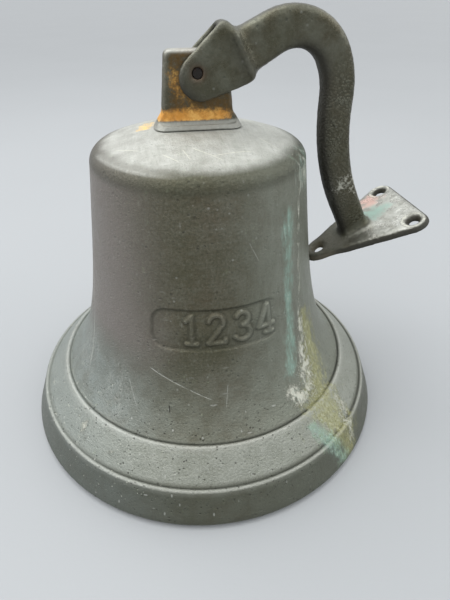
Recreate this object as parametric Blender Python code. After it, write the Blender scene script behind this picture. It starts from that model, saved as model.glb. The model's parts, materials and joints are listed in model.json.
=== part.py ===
"""A ship's bell standing on its mouth, with its gooseneck wall bracket leaning against it.

Frame: +Z up along the bell's axis, with the origin at the centre of the mouth, which stands on z = 0.
The bracket swings on a pin along Y and lies in the XZ plane, on the +X side.
Inside, a clapper hangs from a forked staple that also holds the hanger lug to the crown.
"""
import math

import bmesh
import bpy
from mathutils import Matrix, Vector

MM = 0.001

# Fits
SEAT_GAP = 0.3 * MM
RUN_CLEARANCE = 0.4 * MM
CUT_MARGIN = 2.0 * MM
SMALL_EDGE = 0.8 * MM

# Facets
TURN_STEPS = 56
MIDDLE_TURN_STEPS = 32
SMALL_TURN_STEPS = 24
EDGE_STEPS = 3
CORNER_STEPS = 4
FILLET_STEPS = 4
STRAIGHT_STEPS = 2
BALL_STATIONS = 8
WAIST_STATIONS = 9
WAIST_CROWDING = 1.6
LIP_STATIONS = 3
ROLL_STATIONS = 3
SHOULDER_STATIONS = 4
CROWN_STATIONS = 3
CHORD_ERROR = 0.08 * MM
SHARP_ANGLE = math.radians(35.0)
ANGLE_ERROR = 1e-9

# Bell, outside
MOUTH_RADIUS = 127.0 * MM
LIP_ROUND = 4.0 * MM
LOWER_GROOVE_RADIUS = 116.8 * MM
LOWER_GROOVE_HEIGHT = 24.0 * MM
UPPER_GROOVE_HEIGHT = 39.6 * MM
ROLL_RADIUS = 2.2 * MM
FLARE = 19.6 * MM
FLARE_LENGTH = 23.3 * MM
WAIST_TAPER = 0.13
SHOULDER_RADIUS = 61.6 * MM
SHOULDER_HEIGHT = 175.7 * MM
SHOULDER_FILLET = 8.5 * MM
CROWN_SLOPE = math.radians(20.0)
CROWN_SEAT_RADIUS = 25.0 * MM

# Bell, inside
LIP_FLAT = 10.0 * MM
LIP_WALL = 9.0 * MM
WAIST_WALL = 5.5 * MM
CROWN_WALL = 8.0 * MM
CROWN_INNER_SEAT = 18.0 * MM
WALL_EASE = 3

# Hanger lug on the crown
LUG_THICKNESS = 9.5 * MM
LUG_TOP_WIDTH = 33.2 * MM
LUG_FOOT_WIDTH = 40.0 * MM
LUG_HEIGHT = 37.6 * MM
LUG_CORNER = 3.0 * MM
LUG_EDGE = 1.8 * MM
FOOT_LENGTH = 43.0 * MM
FOOT_DEPTH = 15.5 * MM
FOOT_HEIGHT = 7.4 * MM
FOOT_CORNER = 5.5 * MM
FOOT_ROUND = 3.0 * MM
PIVOT_DROP = 10.5 * MM

# Pivot pin through fork and lug
PIVOT_PIN_DIAMETER = 4.8 * MM
PIVOT_PIN_RECESS = 1.0 * MM

# Bracket, in its upright position with the pivot at its origin and the wall at +X
FORK_WIDTH = 16.5 * MM
FORK_END_RADIUS = 11.6 * MM
FORK_LENGTH = 25.8 * MM
FORK_TOP_WIDTH = 32.5 * MM
FORK_CORNER = 4.0 * MM
FORK_EDGE = 2.2 * MM
FORK_SET = 3.0 * MM
FORK_TILT = math.radians(2.5)
ARM_OFFSET = 4.3 * MM
ARM_RISE = 43.5 * MM
ARM_WIDTH = 18.4 * MM
ARM_ROOT_WIDTH = 22.5 * MM
ARM_THICKNESS = 13.0 * MM
ARM_EDGE = 4.0 * MM
CROOK_RADIUS = 25.0 * MM
BACK_RADIUS = 45.0 * MM
ARM_FALL = math.radians(29.0)
TAIL_RADIUS = 128.0 * MM
ROOT_FILLET = 4.5 * MM
PLATE_FILLET = 4.5 * MM
BURY = 2.5 * MM
PLATE_REACH = 136.2 * MM
PLATE_THICKNESS = 5.0 * MM
PLATE_CORNER = 9.2 * MM
APEX_CORNER = 10.5 * MM
PLATE_ROUND = 3.5 * MM
APEX_HOLE_HEIGHT = 19.2 * MM
PAIR_HOLE_HEIGHT = 77.7 * MM
PAIR_HOLE_SPACING = 47.5 * MM
SCREW_HOLE_DIAMETER = 6.0 * MM
COUNTERSINK_DIAMETER = 11.4 * MM

# Staple, nut and washer under the crown
BOLT_DIAMETER = 8.0 * MM
BOLT_ENGAGEMENT = 6.5 * MM
WASHER_DIAMETER = 24.0 * MM
WASHER_THICKNESS = 2.0 * MM
NUT_ACROSS_FLATS = 13.0 * MM
NUT_HEIGHT = 8.0 * MM
THREAD_RUNOUT = 2.0 * MM
STAPLE_LENGTH = 13.0 * MM
STAPLE_END_RADIUS = 8.0 * MM
STAPLE_WIDTH = 18.0 * MM

# Clapper
CLAPPER_PIN_DIAMETER = 6.0 * MM
CLAPPER_PIN_HEAD = 10.0 * MM
CLAPPER_PIN_HEAD_HEIGHT = 2.5 * MM
CLAPPER_PIN_TAIL = 6.0 * MM
SPLIT_PIN_DIAMETER = 1.6 * MM
SPLIT_PIN_LOOP = 2.2 * MM
SPLIT_PIN_TAIL = 4.0 * MM
SPLIT_PIN_OPENING = math.radians(70.0)
EYE_RADIUS = 7.5 * MM
EYE_THICKNESS = 8.0 * MM
EYE_NECK = 12.0 * MM
ROD_DIAMETER = 10.0 * MM
ROD_COLLAR_DIAMETER = 15.0 * MM
ROD_COLLAR_HEIGHT = 4.0 * MM
SPIGOT_DIAMETER = 8.0 * MM
BALL_DIAMETER = 36.0 * MM
BALL_FLAT_DIAMETER = 15.0 * MM
TAIL_CLEARANCE = 2.5 * MM
TAIL_RING_DIAMETER = 15.0 * MM
TAIL_HOLE_DIAMETER = 8.0 * MM
TAIL_THICKNESS = 6.0 * MM
TAIL_COLLAR_HEIGHT = 6.0 * MM

# Colours
BRONZE = ((0.16, 0.155, 0.125), 0.55, 0.6)
DARK_BRONZE = ((0.10, 0.10, 0.08), 0.6, 0.55)
IRON = ((0.13, 0.09, 0.07), 0.7, 0.7)
STEEL = ((0.30, 0.29, 0.28), 0.45, 0.9)


# Sizes worked out from those above
def waist_radius(z):
    """Outer radius of the waist: a straight taper with a flare that dies away upwards."""
    flare = FLARE * math.exp((UPPER_GROOVE_HEIGHT - z) / FLARE_LENGTH)
    return SHOULDER_RADIUS + WAIST_TAPER * (SHOULDER_HEIGHT - z) + flare


CROWN_EDGE_RADIUS = waist_radius(SHOULDER_HEIGHT) - SHOULDER_FILLET * (1 - math.sin(CROWN_SLOPE))
CROWN_EDGE_HEIGHT = SHOULDER_HEIGHT + SHOULDER_FILLET * math.cos(CROWN_SLOPE)
CROWN_RADIUS = CROWN_EDGE_RADIUS / math.sin(CROWN_SLOPE)
CROWN_CENTRE = CROWN_EDGE_HEIGHT - CROWN_RADIUS * math.cos(CROWN_SLOPE)
INNER_CROWN_RADIUS = CROWN_RADIUS - CROWN_WALL
CROWN_SEAT = CROWN_CENTRE + math.sqrt(CROWN_RADIUS**2 - CROWN_SEAT_RADIUS**2)
INNER_SEAT = CROWN_CENTRE + math.sqrt(INNER_CROWN_RADIUS**2 - CROWN_INNER_SEAT**2)
LUG_BASE = CROWN_SEAT + SEAT_GAP
LUG_TOP = LUG_BASE + LUG_HEIGHT
PIVOT_HEIGHT = LUG_TOP - PIVOT_DROP
BOLT_HOLE_RADIUS = BOLT_DIAMETER / 2 + SEAT_GAP
PIVOT_BORE_RADIUS = PIVOT_PIN_DIAMETER / 2 + SEAT_GAP

LUG_CORNER_REACH = LUG_CORNER + math.hypot(LUG_TOP_WIDTH / 2 - LUG_CORNER, PIVOT_DROP - LUG_CORNER)
SLOT_DEPTH = LUG_CORNER_REACH + 2 * RUN_CLEARANCE
SLOT_WIDTH = LUG_THICKNESS + 2 * RUN_CLEARANCE
PLATE_BACK = PLATE_REACH + PLATE_THICKNESS
SCREW_HOLES = [(0.0, APEX_HOLE_HEIGHT)] + [
    (side * PAIR_HOLE_SPACING / 2, PAIR_HOLE_HEIGHT) for side in (-1, 1)]

WASHER_TOP = INNER_SEAT - SEAT_GAP
NUT_TOP = WASHER_TOP - WASHER_THICKNESS - SEAT_GAP
STAPLE_TOP = NUT_TOP - NUT_HEIGHT - THREAD_RUNOUT
CLAPPER_PIVOT = STAPLE_TOP - STAPLE_LENGTH
CLAPPER_BORE_RADIUS = CLAPPER_PIN_DIAMETER / 2 + SEAT_GAP

BALL_RADIUS = BALL_DIAMETER / 2
BALL_HALF_HEIGHT = math.sqrt(BALL_RADIUS**2 - (BALL_FLAT_DIAMETER / 2)**2)
TAIL_RING_CENTRE = TAIL_CLEARANCE + TAIL_RING_DIAMETER / 2
TAIL_TOP = TAIL_CLEARANCE + TAIL_RING_DIAMETER + TAIL_COLLAR_HEIGHT - CUT_MARGIN
BALL_CENTRE = TAIL_TOP + SEAT_GAP + BALL_HALF_HEIGHT
ROD_COLLAR_BASE = BALL_CENTRE + BALL_HALF_HEIGHT + SEAT_GAP
SPIGOT_BORE_RADIUS = SPIGOT_DIAMETER / 2 + SEAT_GAP
SPIGOT_SOCKET = TAIL_COLLAR_HEIGHT - CUT_MARGIN


# Outlines
def circle(u, v, radius, steps=SMALL_TURN_STEPS):
    """Points round a circle, as (u, v)."""
    turns = [2 * math.pi * i / steps for i in range(steps)]
    return [(u + radius * math.cos(a), v + radius * math.sin(a)) for a in turns]


def arc(u, v, radius, start, end, steps):
    """Points along an arc from one angle to another, ends included."""
    angles = [start + (end - start) * i / steps for i in range(steps + 1)]
    return [(u + radius * math.cos(a), v + radius * math.sin(a)) for a in angles]


def taut_band(circles):
    """Outline of a band pulled tight round circles given as (u, v, radius)."""
    points = sorted({point for ring in circles for point in circle(*ring)})

    def chain(sequence):
        kept = []
        for u, v in sequence:
            while len(kept) > 1:
                (au, av), (bu, bv) = kept[-2], kept[-1]
                if (bu - au) * (v - av) - (bv - av) * (u - au) > 0:
                    break
                kept.pop()
            kept.append((u, v))
        return kept[:-1]

    return chain(points) + chain(points[::-1])


def rounded_rectangle(half_u, half_v, radius, steps):
    """Rectangle about the origin with round corners, as (u, v)."""
    corners = [(1, 1), (-1, 1), (-1, -1), (1, -1)]
    points = []
    for quarter, (side_u, side_v) in enumerate(corners):
        start = quarter * math.pi / 2
        centre = (side_u * (half_u - radius), side_v * (half_v - radius))
        points += arc(*centre, radius, start, start + math.pi / 2, steps)
    return points


# Solids
def turned(profile, steps=TURN_STEPS):
    """Solid of revolution about Z from a profile of (radius, z); a radius of 0 is on the axis."""
    bm = bmesh.new()
    rings = []
    for radius, z in profile:
        if radius == 0:
            rings.append([bm.verts.new((0, 0, z))])
        else:
            rings.append([bm.verts.new((x, y, z)) for x, y in circle(0, 0, radius, steps)])
    pairs = list(zip(rings, rings[1:]))
    if len(rings[0]) > 1:
        pairs.append((rings[-1], rings[0]))
    for low, high in pairs:
        for i in range(steps):
            j = (i + 1) % steps
            corners = [low[i % len(low)], low[j % len(low)], high[j % len(high)], high[i % len(high)]]
            bm.faces.new(dict.fromkeys(corners))
    bmesh.ops.recalc_face_normals(bm, faces=bm.faces)
    return bm


def lofted(rings):
    """Solid through rings of points, all of the same count, with flat ends."""
    bm = bmesh.new()
    loops = [[bm.verts.new(point) for point in ring] for ring in rings]
    for low, high in zip(loops, loops[1:]):
        for i in range(len(low)):
            j = (i + 1) % len(low)
            bm.faces.new((low[i], low[j], high[j], high[i]))
    bm.faces.new(loops[0])
    bm.faces.new(loops[-1])
    bmesh.ops.recalc_face_normals(bm, faces=bm.faces)
    return bm


def prism(outline, axis, low, high, low_round=0.0, high_round=0.0):
    """Outline extruded along an axis from low to high, with its rims rounded off."""
    place = {"X": lambda u, v, w: (w, u, v), "Y": lambda u, v, w: (u, w, v), "Z": lambda u, v, w: (u, v, w)}
    bm = lofted([[place[axis](u, v, w) for u, v in outline] for w in (low, high)])
    count = len(outline)
    caps = [face for face in bm.faces if len(face.verts) == count]
    for cap, size in zip(sorted(caps, key=lambda face: face.calc_center_median()["XYZ".index(axis)]),
                         (low_round, high_round)):
        if size > 0:
            bmesh.ops.bevel(bm, geom=list(cap.edges), offset=size, segments=EDGE_STEPS,
                            profile=0.5, affect="EDGES")
    return bm


# Objects
def material(name, look):
    colour, roughness, metallic = look
    made = bpy.data.materials.new(name)
    made.use_nodes = True
    shader = made.node_tree.nodes["Principled BSDF"]
    shader.inputs["Base Color"].default_value = (*colour, 1)
    shader.inputs["Roughness"].default_value = roughness
    shader.inputs["Metallic"].default_value = metallic
    made.diffuse_color = (*colour, 1)
    return made


def put(name, bm, look=None, parent=None):
    """Turn a mesh into a named object; one with no look is a tool that only shapes others."""
    mesh = bpy.data.meshes.new(name)
    bm.to_mesh(mesh)
    bm.free()
    mesh.shade_smooth()
    mesh.set_sharp_from_angle(angle=SHARP_ANGLE)
    made = bpy.data.objects.new(name, mesh)
    bpy.context.scene.collection.objects.link(made)
    made.parent = parent
    if look:
        mesh.materials.append(material(name, look))
    else:
        made.hide_render = True
        made.display_type = "WIRE"
    return made


def shape(target, operation, tool):
    """Cut a tool from an object, or join it on."""
    step = target.modifiers.new(tool.name, "BOOLEAN")
    step.operation = operation
    step.solver = "EXACT"
    step.object = tool


def pivot(name, height, turn=0.0):
    """Empty on a hinge line along Y, which the pieces that swing on it are parented to."""
    made = bpy.data.objects.new(name, None)
    made.location = (0, 0, height)
    made.rotation_euler = (0, turn, 0)
    bpy.context.scene.collection.objects.link(made)
    return made


def cross_bore(name, radius, height, half_length, parent=None):
    """Round cutter along Y."""
    return put(name, prism(circle(0, height, radius), "Y", -half_length, half_length), parent=parent)


# Bell
def band_top(groove, end):
    """Rolled upper edge of a band that starts in a groove and runs down to its end."""
    (r, z), (end_r, end_z) = groove, end
    slope = math.atan2(end_z - z, end_r - r)
    centre = (r + ROLL_RADIUS * math.cos(slope), z + ROLL_RADIUS * math.sin(slope))
    return arc(*centre, ROLL_RADIUS, slope + math.pi, slope + math.pi / 2, ROLL_STATIONS)


def waist_profile():
    """Waist from the upper groove to the shoulder, closer together where it flares."""
    span = SHOULDER_HEIGHT - UPPER_GROOVE_HEIGHT
    shares = [(i / WAIST_STATIONS)**WAIST_CROWDING for i in range(WAIST_STATIONS + 1)]
    heights = [UPPER_GROOVE_HEIGHT + span * share for share in shares]
    return [(waist_radius(z), z) for z in heights]


def crown_profile():
    """Shoulder fillet and shallow dome, up to the flat seat of the lug."""
    centre = (waist_radius(SHOULDER_HEIGHT) - SHOULDER_FILLET, SHOULDER_HEIGHT)
    fillet = arc(*centre, SHOULDER_FILLET, 0, math.pi / 2 - CROWN_SLOPE, SHOULDER_STATIONS)
    seat_angle = math.acos(CROWN_SEAT_RADIUS / CROWN_RADIUS)
    dome = arc(0, CROWN_CENTRE, CROWN_RADIUS, math.pi / 2 - CROWN_SLOPE, seat_angle, CROWN_STATIONS)
    return fillet[1:] + dome[1:]


def inner_profile():
    """Inside of the bell, from the crown seat down to the mouth."""
    lip = (MOUTH_RADIUS, LIP_ROUND)
    lower = (LOWER_GROOVE_RADIUS, LOWER_GROOVE_HEIGHT)
    outside = [lip, lower] + waist_profile()
    points = []
    for before, (r, z), after in zip(outside, outside[1:], outside[2:]):
        run = Vector((after[0] - before[0], after[1] - before[1])).normalized()
        rise = (z - LOWER_GROOVE_HEIGHT) / (SHOULDER_HEIGHT - LOWER_GROOVE_HEIGHT)
        wall = WAIST_WALL + (LIP_WALL - WAIST_WALL) * (1 - rise)**WALL_EASE
        points.append((r - wall * run.y, z + wall * run.x))
    fillet = SHOULDER_FILLET - WAIST_WALL + CROWN_WALL
    corner_r = waist_radius(SHOULDER_HEIGHT) - WAIST_WALL - fillet
    edge_angle = math.acos(corner_r / INNER_CROWN_RADIUS)
    seat_angle = math.acos(CROWN_INNER_SEAT / INNER_CROWN_RADIUS)
    dome = arc(0, CROWN_CENTRE, INNER_CROWN_RADIUS, edge_angle, seat_angle, CROWN_STATIONS)
    mouth = [(MOUTH_RADIUS - LIP_ROUND - LIP_FLAT, 0)]
    return dome[::-1] + points[::-1] + mouth


def bell_shell():
    lip = arc(MOUTH_RADIUS - LIP_ROUND, LIP_ROUND, LIP_ROUND, -math.pi / 2, 0, LIP_STATIONS)
    lower = (LOWER_GROOVE_RADIUS, LOWER_GROOVE_HEIGHT)
    waist = waist_profile()
    outside = lip + band_top(lower, lip[-1])[::-1] + band_top(waist[0], lower)[::-1]
    outside += waist[1:] + crown_profile()
    bolt_hole = [(BOLT_HOLE_RADIUS, CROWN_SEAT), (BOLT_HOLE_RADIUS, INNER_SEAT)]
    put("bell_shell", turned(outside + bolt_hole + inner_profile()), BRONZE)


# Hanger lug
def hanger_lug():
    top = LUG_TOP - LUG_CORNER
    foot = LUG_BASE + LUG_EDGE
    corners = [(side * (LUG_TOP_WIDTH / 2 - LUG_CORNER), top, LUG_CORNER) for side in (-1, 1)]
    corners += [(side * (LUG_FOOT_WIDTH / 2 - LUG_EDGE), foot + CUT_MARGIN, LUG_EDGE) for side in (-1, 1)]
    half = LUG_THICKNESS / 2
    lug = put("hanger_lug", prism(taut_band(corners), "Y", -half, half, LUG_EDGE, LUG_EDGE), BRONZE)
    plan = rounded_rectangle(FOOT_LENGTH / 2, FOOT_DEPTH / 2, FOOT_CORNER, CORNER_STEPS)
    foot_block = prism(plan, "Z", LUG_BASE, LUG_BASE + FOOT_HEIGHT, 0, FOOT_ROUND)
    shape(lug, "UNION", put("lug_foot", foot_block))
    socket = [(0, LUG_BASE - CUT_MARGIN), (BOLT_HOLE_RADIUS, LUG_BASE - CUT_MARGIN)]
    depth = LUG_BASE + BOLT_ENGAGEMENT + SEAT_GAP
    socket += [(BOLT_HOLE_RADIUS, depth), (0, depth)]
    shape(lug, "DIFFERENCE", put("lug_socket", turned(socket, SMALL_TURN_STEPS)))
    shape(lug, "DIFFERENCE", cross_bore("lug_bore", PIVOT_BORE_RADIUS, PIVOT_HEIGHT, LUG_THICKNESS))


# Bracket
def rest_lean():
    """Angle from upright at which the plate's lower tip comes to rest on the waist."""
    rim = [(y, z) for y, z in circle(0, APEX_HOLE_HEIGHT, APEX_CORNER) if z < APEX_HOLE_HEIGHT]
    tip = [(x, y, z) for y, z in rim for x in (PLATE_REACH + PLATE_ROUND, PLATE_BACK)]

    def gap(lean):
        gaps = []
        for x, y, z in tip:
            out = x * math.cos(lean) + z * math.sin(lean)
            height = PIVOT_HEIGHT - x * math.sin(lean) + z * math.cos(lean)
            gaps.append(math.hypot(out, y) - waist_radius(height))
        return min(gaps) - SEAT_GAP

    clear, touching = 0.0, math.pi / 2
    while touching - clear > ANGLE_ERROR:
        middle = (clear + touching) / 2
        if gap(middle) > 0:
            clear = middle
        else:
            touching = middle
    return clear


def fillet_flare(distance, radius):
    """How far a concave fillet stands out at a distance from the face that it meets."""
    if distance >= radius:
        return 0.0
    distance = max(distance, 0.0)
    return radius - math.sqrt(radius**2 - (radius - distance)**2)


def straight(start, length, steps):
    """Stations (x, z, heading) along a line."""
    x, z, heading = start
    reach = [length * (i + 1) / steps for i in range(steps)]
    return [(x + r * math.cos(heading), z + r * math.sin(heading), heading) for r in reach]


def bend(start, radius, turn):
    """Stations (x, z, heading) along an arc, close enough together to keep the chord error."""
    x, z, heading = start
    steps = math.ceil(abs(turn) / (2 * math.acos(1 - CHORD_ERROR / radius)))
    chord = 2 * radius * math.sin(abs(turn) / steps / 2)
    stations = []
    for _ in range(steps):
        heading += turn / steps / 2
        x += chord * math.cos(heading)
        z += chord * math.sin(heading)
        heading += turn / steps / 2
        stations.append((x, z, heading))
    return stations


def arm():
    """Gooseneck from the fork up, over and down to the plate, filleted into both."""
    path = [(ARM_OFFSET, FORK_LENGTH - BURY, math.pi / 2)]
    path += straight(path[-1], BURY, 1)
    path += straight(path[-1], ROOT_FILLET, FILLET_STEPS)
    path += straight(path[-1], ARM_RISE - path[-1][1], STRAIGHT_STEPS)
    path += bend(path[-1], CROOK_RADIUS, -math.pi / 2)
    rise = len(path)
    path += bend(path[-1], BACK_RADIUS, -ARM_FALL)
    path += bend(path[-1], TAIL_RADIUS, ARM_FALL)
    path += straight(path[-1], PLATE_REACH - PLATE_FILLET - path[-1][0], STRAIGHT_STEPS)
    path += straight(path[-1], PLATE_FILLET, FILLET_STEPS)
    path += straight(path[-1], BURY, 1)
    crook_top = path[rise - 1][1]
    rings = []
    for station, (x, z, heading) in enumerate(path):
        root = fillet_flare(z - FORK_LENGTH, ROOT_FILLET) if station < rise else 0.0
        foot = fillet_flare(PLATE_REACH - x, PLATE_FILLET)
        climb = max(0.0, (z - FORK_LENGTH) / (crook_top - FORK_LENGTH)) if station < rise else 1.0
        width = ARM_ROOT_WIDTH + (ARM_WIDTH - ARM_ROOT_WIDTH) * climb
        half_u = width / 2 + foot + root / 2
        half_v = ARM_THICKNESS / 2 + foot + root
        section = rounded_rectangle(half_u, half_v, ARM_EDGE, CORNER_STEPS)
        across = (-math.sin(heading), math.cos(heading))
        rings.append([(x + u * across[0], v, z + u * across[1]) for u, v in section])
    return lofted(rings)


def fork():
    side = FORK_TOP_WIDTH / 2 - FORK_CORNER
    rings = [(FORK_SET, 0, FORK_END_RADIUS)]
    rings += [(FORK_SET + s * side, FORK_LENGTH - FORK_CORNER, FORK_CORNER) for s in (-1, 1)]
    half = FORK_WIDTH / 2
    return prism(taut_band(rings), "Y", -half, half, FORK_EDGE, FORK_EDGE)


def fork_slot():
    half = FORK_TOP_WIDTH
    low = -FORK_END_RADIUS - CUT_MARGIN
    outline = [(-half, low), (half, low), (half, SLOT_DEPTH), (-half, SLOT_DEPTH)]
    return prism(outline, "Y", -SLOT_WIDTH / 2, SLOT_WIDTH / 2)


def screw_holes():
    """Countersunk holes through the plate, from its arm side."""
    hole, sink = SCREW_HOLE_DIAMETER / 2, COUNTERSINK_DIAMETER / 2
    over = sink + CUT_MARGIN
    profile = [(0, -CUT_MARGIN), (over, -CUT_MARGIN), (hole, sink - hole),
               (hole, PLATE_THICKNESS + CUT_MARGIN), (0, PLATE_THICKNESS + CUT_MARGIN)]
    holes = bmesh.new()
    for y, z in SCREW_HOLES:
        one = turned(profile, SMALL_TURN_STEPS)
        one.transform(Matrix.Translation((PLATE_REACH, y, z)) @ Matrix.Rotation(math.pi / 2, 4, "Y"))
        spare = bpy.data.meshes.new("screw_hole")
        one.to_mesh(spare)
        one.free()
        holes.from_mesh(spare)
        bpy.data.meshes.remove(spare)
    return holes


def wall_bracket():
    hinge = pivot("bracket_pivot", PIVOT_HEIGHT, rest_lean())
    bracket = put("wall_bracket", arm(), DARK_BRONZE, hinge)
    fork_body = fork()
    slot = fork_slot()
    tilt = Matrix.Rotation(-FORK_TILT, 4, "Y")
    fork_body.transform(tilt)
    slot.transform(tilt)
    corners = zip(SCREW_HOLES, (APEX_CORNER, PLATE_CORNER, PLATE_CORNER))
    plate_outline = taut_band([(y, z, radius) for (y, z), radius in corners])
    plate = prism(plate_outline, "X", PLATE_REACH, PLATE_BACK, PLATE_ROUND, 0)
    shape(bracket, "UNION", put("fork_block", fork_body, parent=hinge))
    shape(bracket, "UNION", put("plate_blank", plate, parent=hinge))
    shape(bracket, "DIFFERENCE", put("fork_slot", slot, parent=hinge))
    shape(bracket, "DIFFERENCE", cross_bore("fork_bore", PIVOT_BORE_RADIUS, 0, FORK_WIDTH, hinge))
    shape(bracket, "DIFFERENCE", put("screw_holes", screw_holes(), parent=hinge))
    half = FORK_WIDTH / 2 - PIVOT_PIN_RECESS
    put("pivot_pin", prism(circle(0, 0, PIVOT_PIN_DIAMETER / 2), "Y", -half, half), IRON, hinge)


# Crown fastening
def crown_fastening():
    hole = BOLT_HOLE_RADIUS
    washer_base = WASHER_TOP - WASHER_THICKNESS
    rim = WASHER_DIAMETER / 2
    profile = [(hole, WASHER_TOP), (hole, washer_base), (rim, washer_base), (rim, WASHER_TOP)]
    put("crown_washer", turned(profile, MIDDLE_TURN_STEPS), STEEL)
    hexagon = circle(0, 0, NUT_ACROSS_FLATS / math.sqrt(3), 6)
    nut_base = NUT_TOP - NUT_HEIGHT
    nut = put("crown_nut", prism(hexagon, "Z", nut_base, NUT_TOP), BRONZE)
    thread = prism(circle(0, 0, hole), "Z", nut_base - CUT_MARGIN, NUT_TOP + CUT_MARGIN)
    shape(nut, "DIFFERENCE", put("nut_thread", thread))


def crown_staple():
    """Bolt with a forked lower end, in which the clapper hangs."""
    half = STAPLE_WIDTH / 2
    flat = STAPLE_TOP - SMALL_EDGE
    rings = [(0, CLAPPER_PIVOT, STAPLE_END_RADIUS)]
    rings += [(s * (STAPLE_END_RADIUS - SMALL_EDGE), flat, SMALL_EDGE) for s in (-1, 1)]
    block = prism(taut_band(rings), "Y", -half, half, SMALL_EDGE, SMALL_EDGE)
    staple = put("crown_staple", block, BRONZE)
    shank = BOLT_DIAMETER / 2
    low, high = STAPLE_TOP - CUT_MARGIN, LUG_BASE + BOLT_ENGAGEMENT
    bolt = [(0, low), (shank, low), (shank, high - SMALL_EDGE), (shank - SMALL_EDGE, high), (0, high)]
    shape(staple, "UNION", put("staple_bolt", turned(bolt, SMALL_TURN_STEPS)))
    top = CLAPPER_PIVOT + EYE_RADIUS + RUN_CLEARANCE
    low = CLAPPER_PIVOT - STAPLE_END_RADIUS - CUT_MARGIN
    wide = STAPLE_END_RADIUS + CUT_MARGIN
    outline = [(-wide, low), (wide, low), (wide, top), (-wide, top)]
    slot = EYE_THICKNESS / 2 + RUN_CLEARANCE
    shape(staple, "DIFFERENCE", put("staple_slot", prism(outline, "Y", -slot, slot)))
    shape(staple, "DIFFERENCE", cross_bore("staple_bore", CLAPPER_BORE_RADIUS, CLAPPER_PIVOT, STAPLE_WIDTH))


def staple_pin():
    """Headed pin across the staple, kept in by a split pin."""
    radius, head = CLAPPER_PIN_DIAMETER / 2, CLAPPER_PIN_HEAD / 2
    face = STAPLE_WIDTH / 2 + SEAT_GAP
    end = STAPLE_WIDTH / 2 + CLAPPER_PIN_TAIL
    profile = [(0, -face - CLAPPER_PIN_HEAD_HEIGHT), (head, -face - CLAPPER_PIN_HEAD_HEIGHT), (head, -face),
               (radius, -face), (radius, end), (0, end)]
    along_y = Matrix.Translation((0, 0, CLAPPER_PIVOT)) @ Matrix.Rotation(-math.pi / 2, 4, "X")
    body = turned(profile, SMALL_TURN_STEPS)
    body.transform(along_y)
    pin = put("staple_pin", body, STEEL)
    hole_y = STAPLE_WIDTH / 2 + CLAPPER_PIN_TAIL / 2
    hole = prism(circle(0, hole_y, SPLIT_PIN_DIAMETER / 2 + SEAT_GAP), "Z",
                 CLAPPER_PIVOT - CLAPPER_PIN_HEAD, CLAPPER_PIVOT + CLAPPER_PIN_HEAD)
    shape(pin, "DIFFERENCE", put("split_pin_hole", hole))
    split_pin(hole_y)


def split_pin(y):
    """Bent wire: a loop above the staple pin, a leg through it and a tail turned aside."""
    loop_z = CLAPPER_PIVOT + CLAPPER_PIN_DIAMETER / 2 + SPLIT_PIN_LOOP + SPLIT_PIN_DIAMETER
    start, end = 1.5 * math.pi - SPLIT_PIN_OPENING, -0.5 * math.pi
    loop = arc(0, loop_z, SPLIT_PIN_LOOP, start, end, MIDDLE_TURN_STEPS // 2)
    leg_end = CLAPPER_PIVOT - CLAPPER_PIN_DIAMETER / 2 - SPLIT_PIN_DIAMETER
    tail = SPLIT_PIN_TAIL * math.sqrt(0.5)
    route = loop + [(0, leg_end), (tail, leg_end - tail)]
    curve = bpy.data.curves.new("staple_split_pin", "CURVE")
    curve.dimensions = "3D"
    curve.bevel_depth = SPLIT_PIN_DIAMETER / 2
    curve.bevel_resolution = 1
    curve.use_fill_caps = True
    wire = curve.splines.new("POLY")
    wire.points.add(len(route) - 1)
    for point, (x, z) in zip(wire.points, route):
        point.co = (x, y, z, 1)
    made = bpy.data.objects.new("staple_split_pin", curve)
    bpy.context.scene.collection.objects.link(made)
    curve.materials.append(material("staple_split_pin", STEEL))


# Clapper, with heights taken from its pivot
def clapper():
    hinge = pivot("clapper_pivot", CLAPPER_PIVOT)
    clapper_rod(hinge)
    clapper_ball(hinge)
    lanyard_eye(hinge)


def clapper_rod(hinge):
    half = EYE_THICKNESS / 2
    neck = (0, -EYE_NECK, ROD_DIAMETER / 2)
    eye = prism(taut_band([(0, 0, EYE_RADIUS), neck]), "Y", -half, half, SMALL_EDGE, SMALL_EDGE)
    rod = put("clapper_rod", eye, IRON, hinge)
    shank, collar, spigot = ROD_DIAMETER / 2, ROD_COLLAR_DIAMETER / 2, SPIGOT_DIAMETER / 2
    base = ROD_COLLAR_BASE - CLAPPER_PIVOT
    end = TAIL_TOP - SPIGOT_SOCKET + SEAT_GAP - CLAPPER_PIVOT
    top = base + ROD_COLLAR_HEIGHT
    profile = [(0, end), (spigot, end), (spigot, base), (collar, base), (collar, top),
               (shank, top), (shank, -EYE_NECK), (0, -EYE_NECK + shank)]
    shape(rod, "UNION", put("rod_shank", turned(profile, SMALL_TURN_STEPS), parent=hinge))
    shape(rod, "DIFFERENCE", cross_bore("rod_bore", CLAPPER_BORE_RADIUS, 0, EYE_THICKNESS, hinge))


def clapper_ball(hinge):
    centre = BALL_CENTRE - CLAPPER_PIVOT
    tilt = math.asin(BALL_HALF_HEIGHT / BALL_RADIUS)
    bulge = arc(0, centre, BALL_RADIUS, -tilt, tilt, BALL_STATIONS)
    bore = [(SPIGOT_BORE_RADIUS, centre + BALL_HALF_HEIGHT), (SPIGOT_BORE_RADIUS, centre - BALL_HALF_HEIGHT)]
    put("clapper_ball", turned(bulge + bore, MIDDLE_TURN_STEPS), IRON, hinge)


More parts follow.
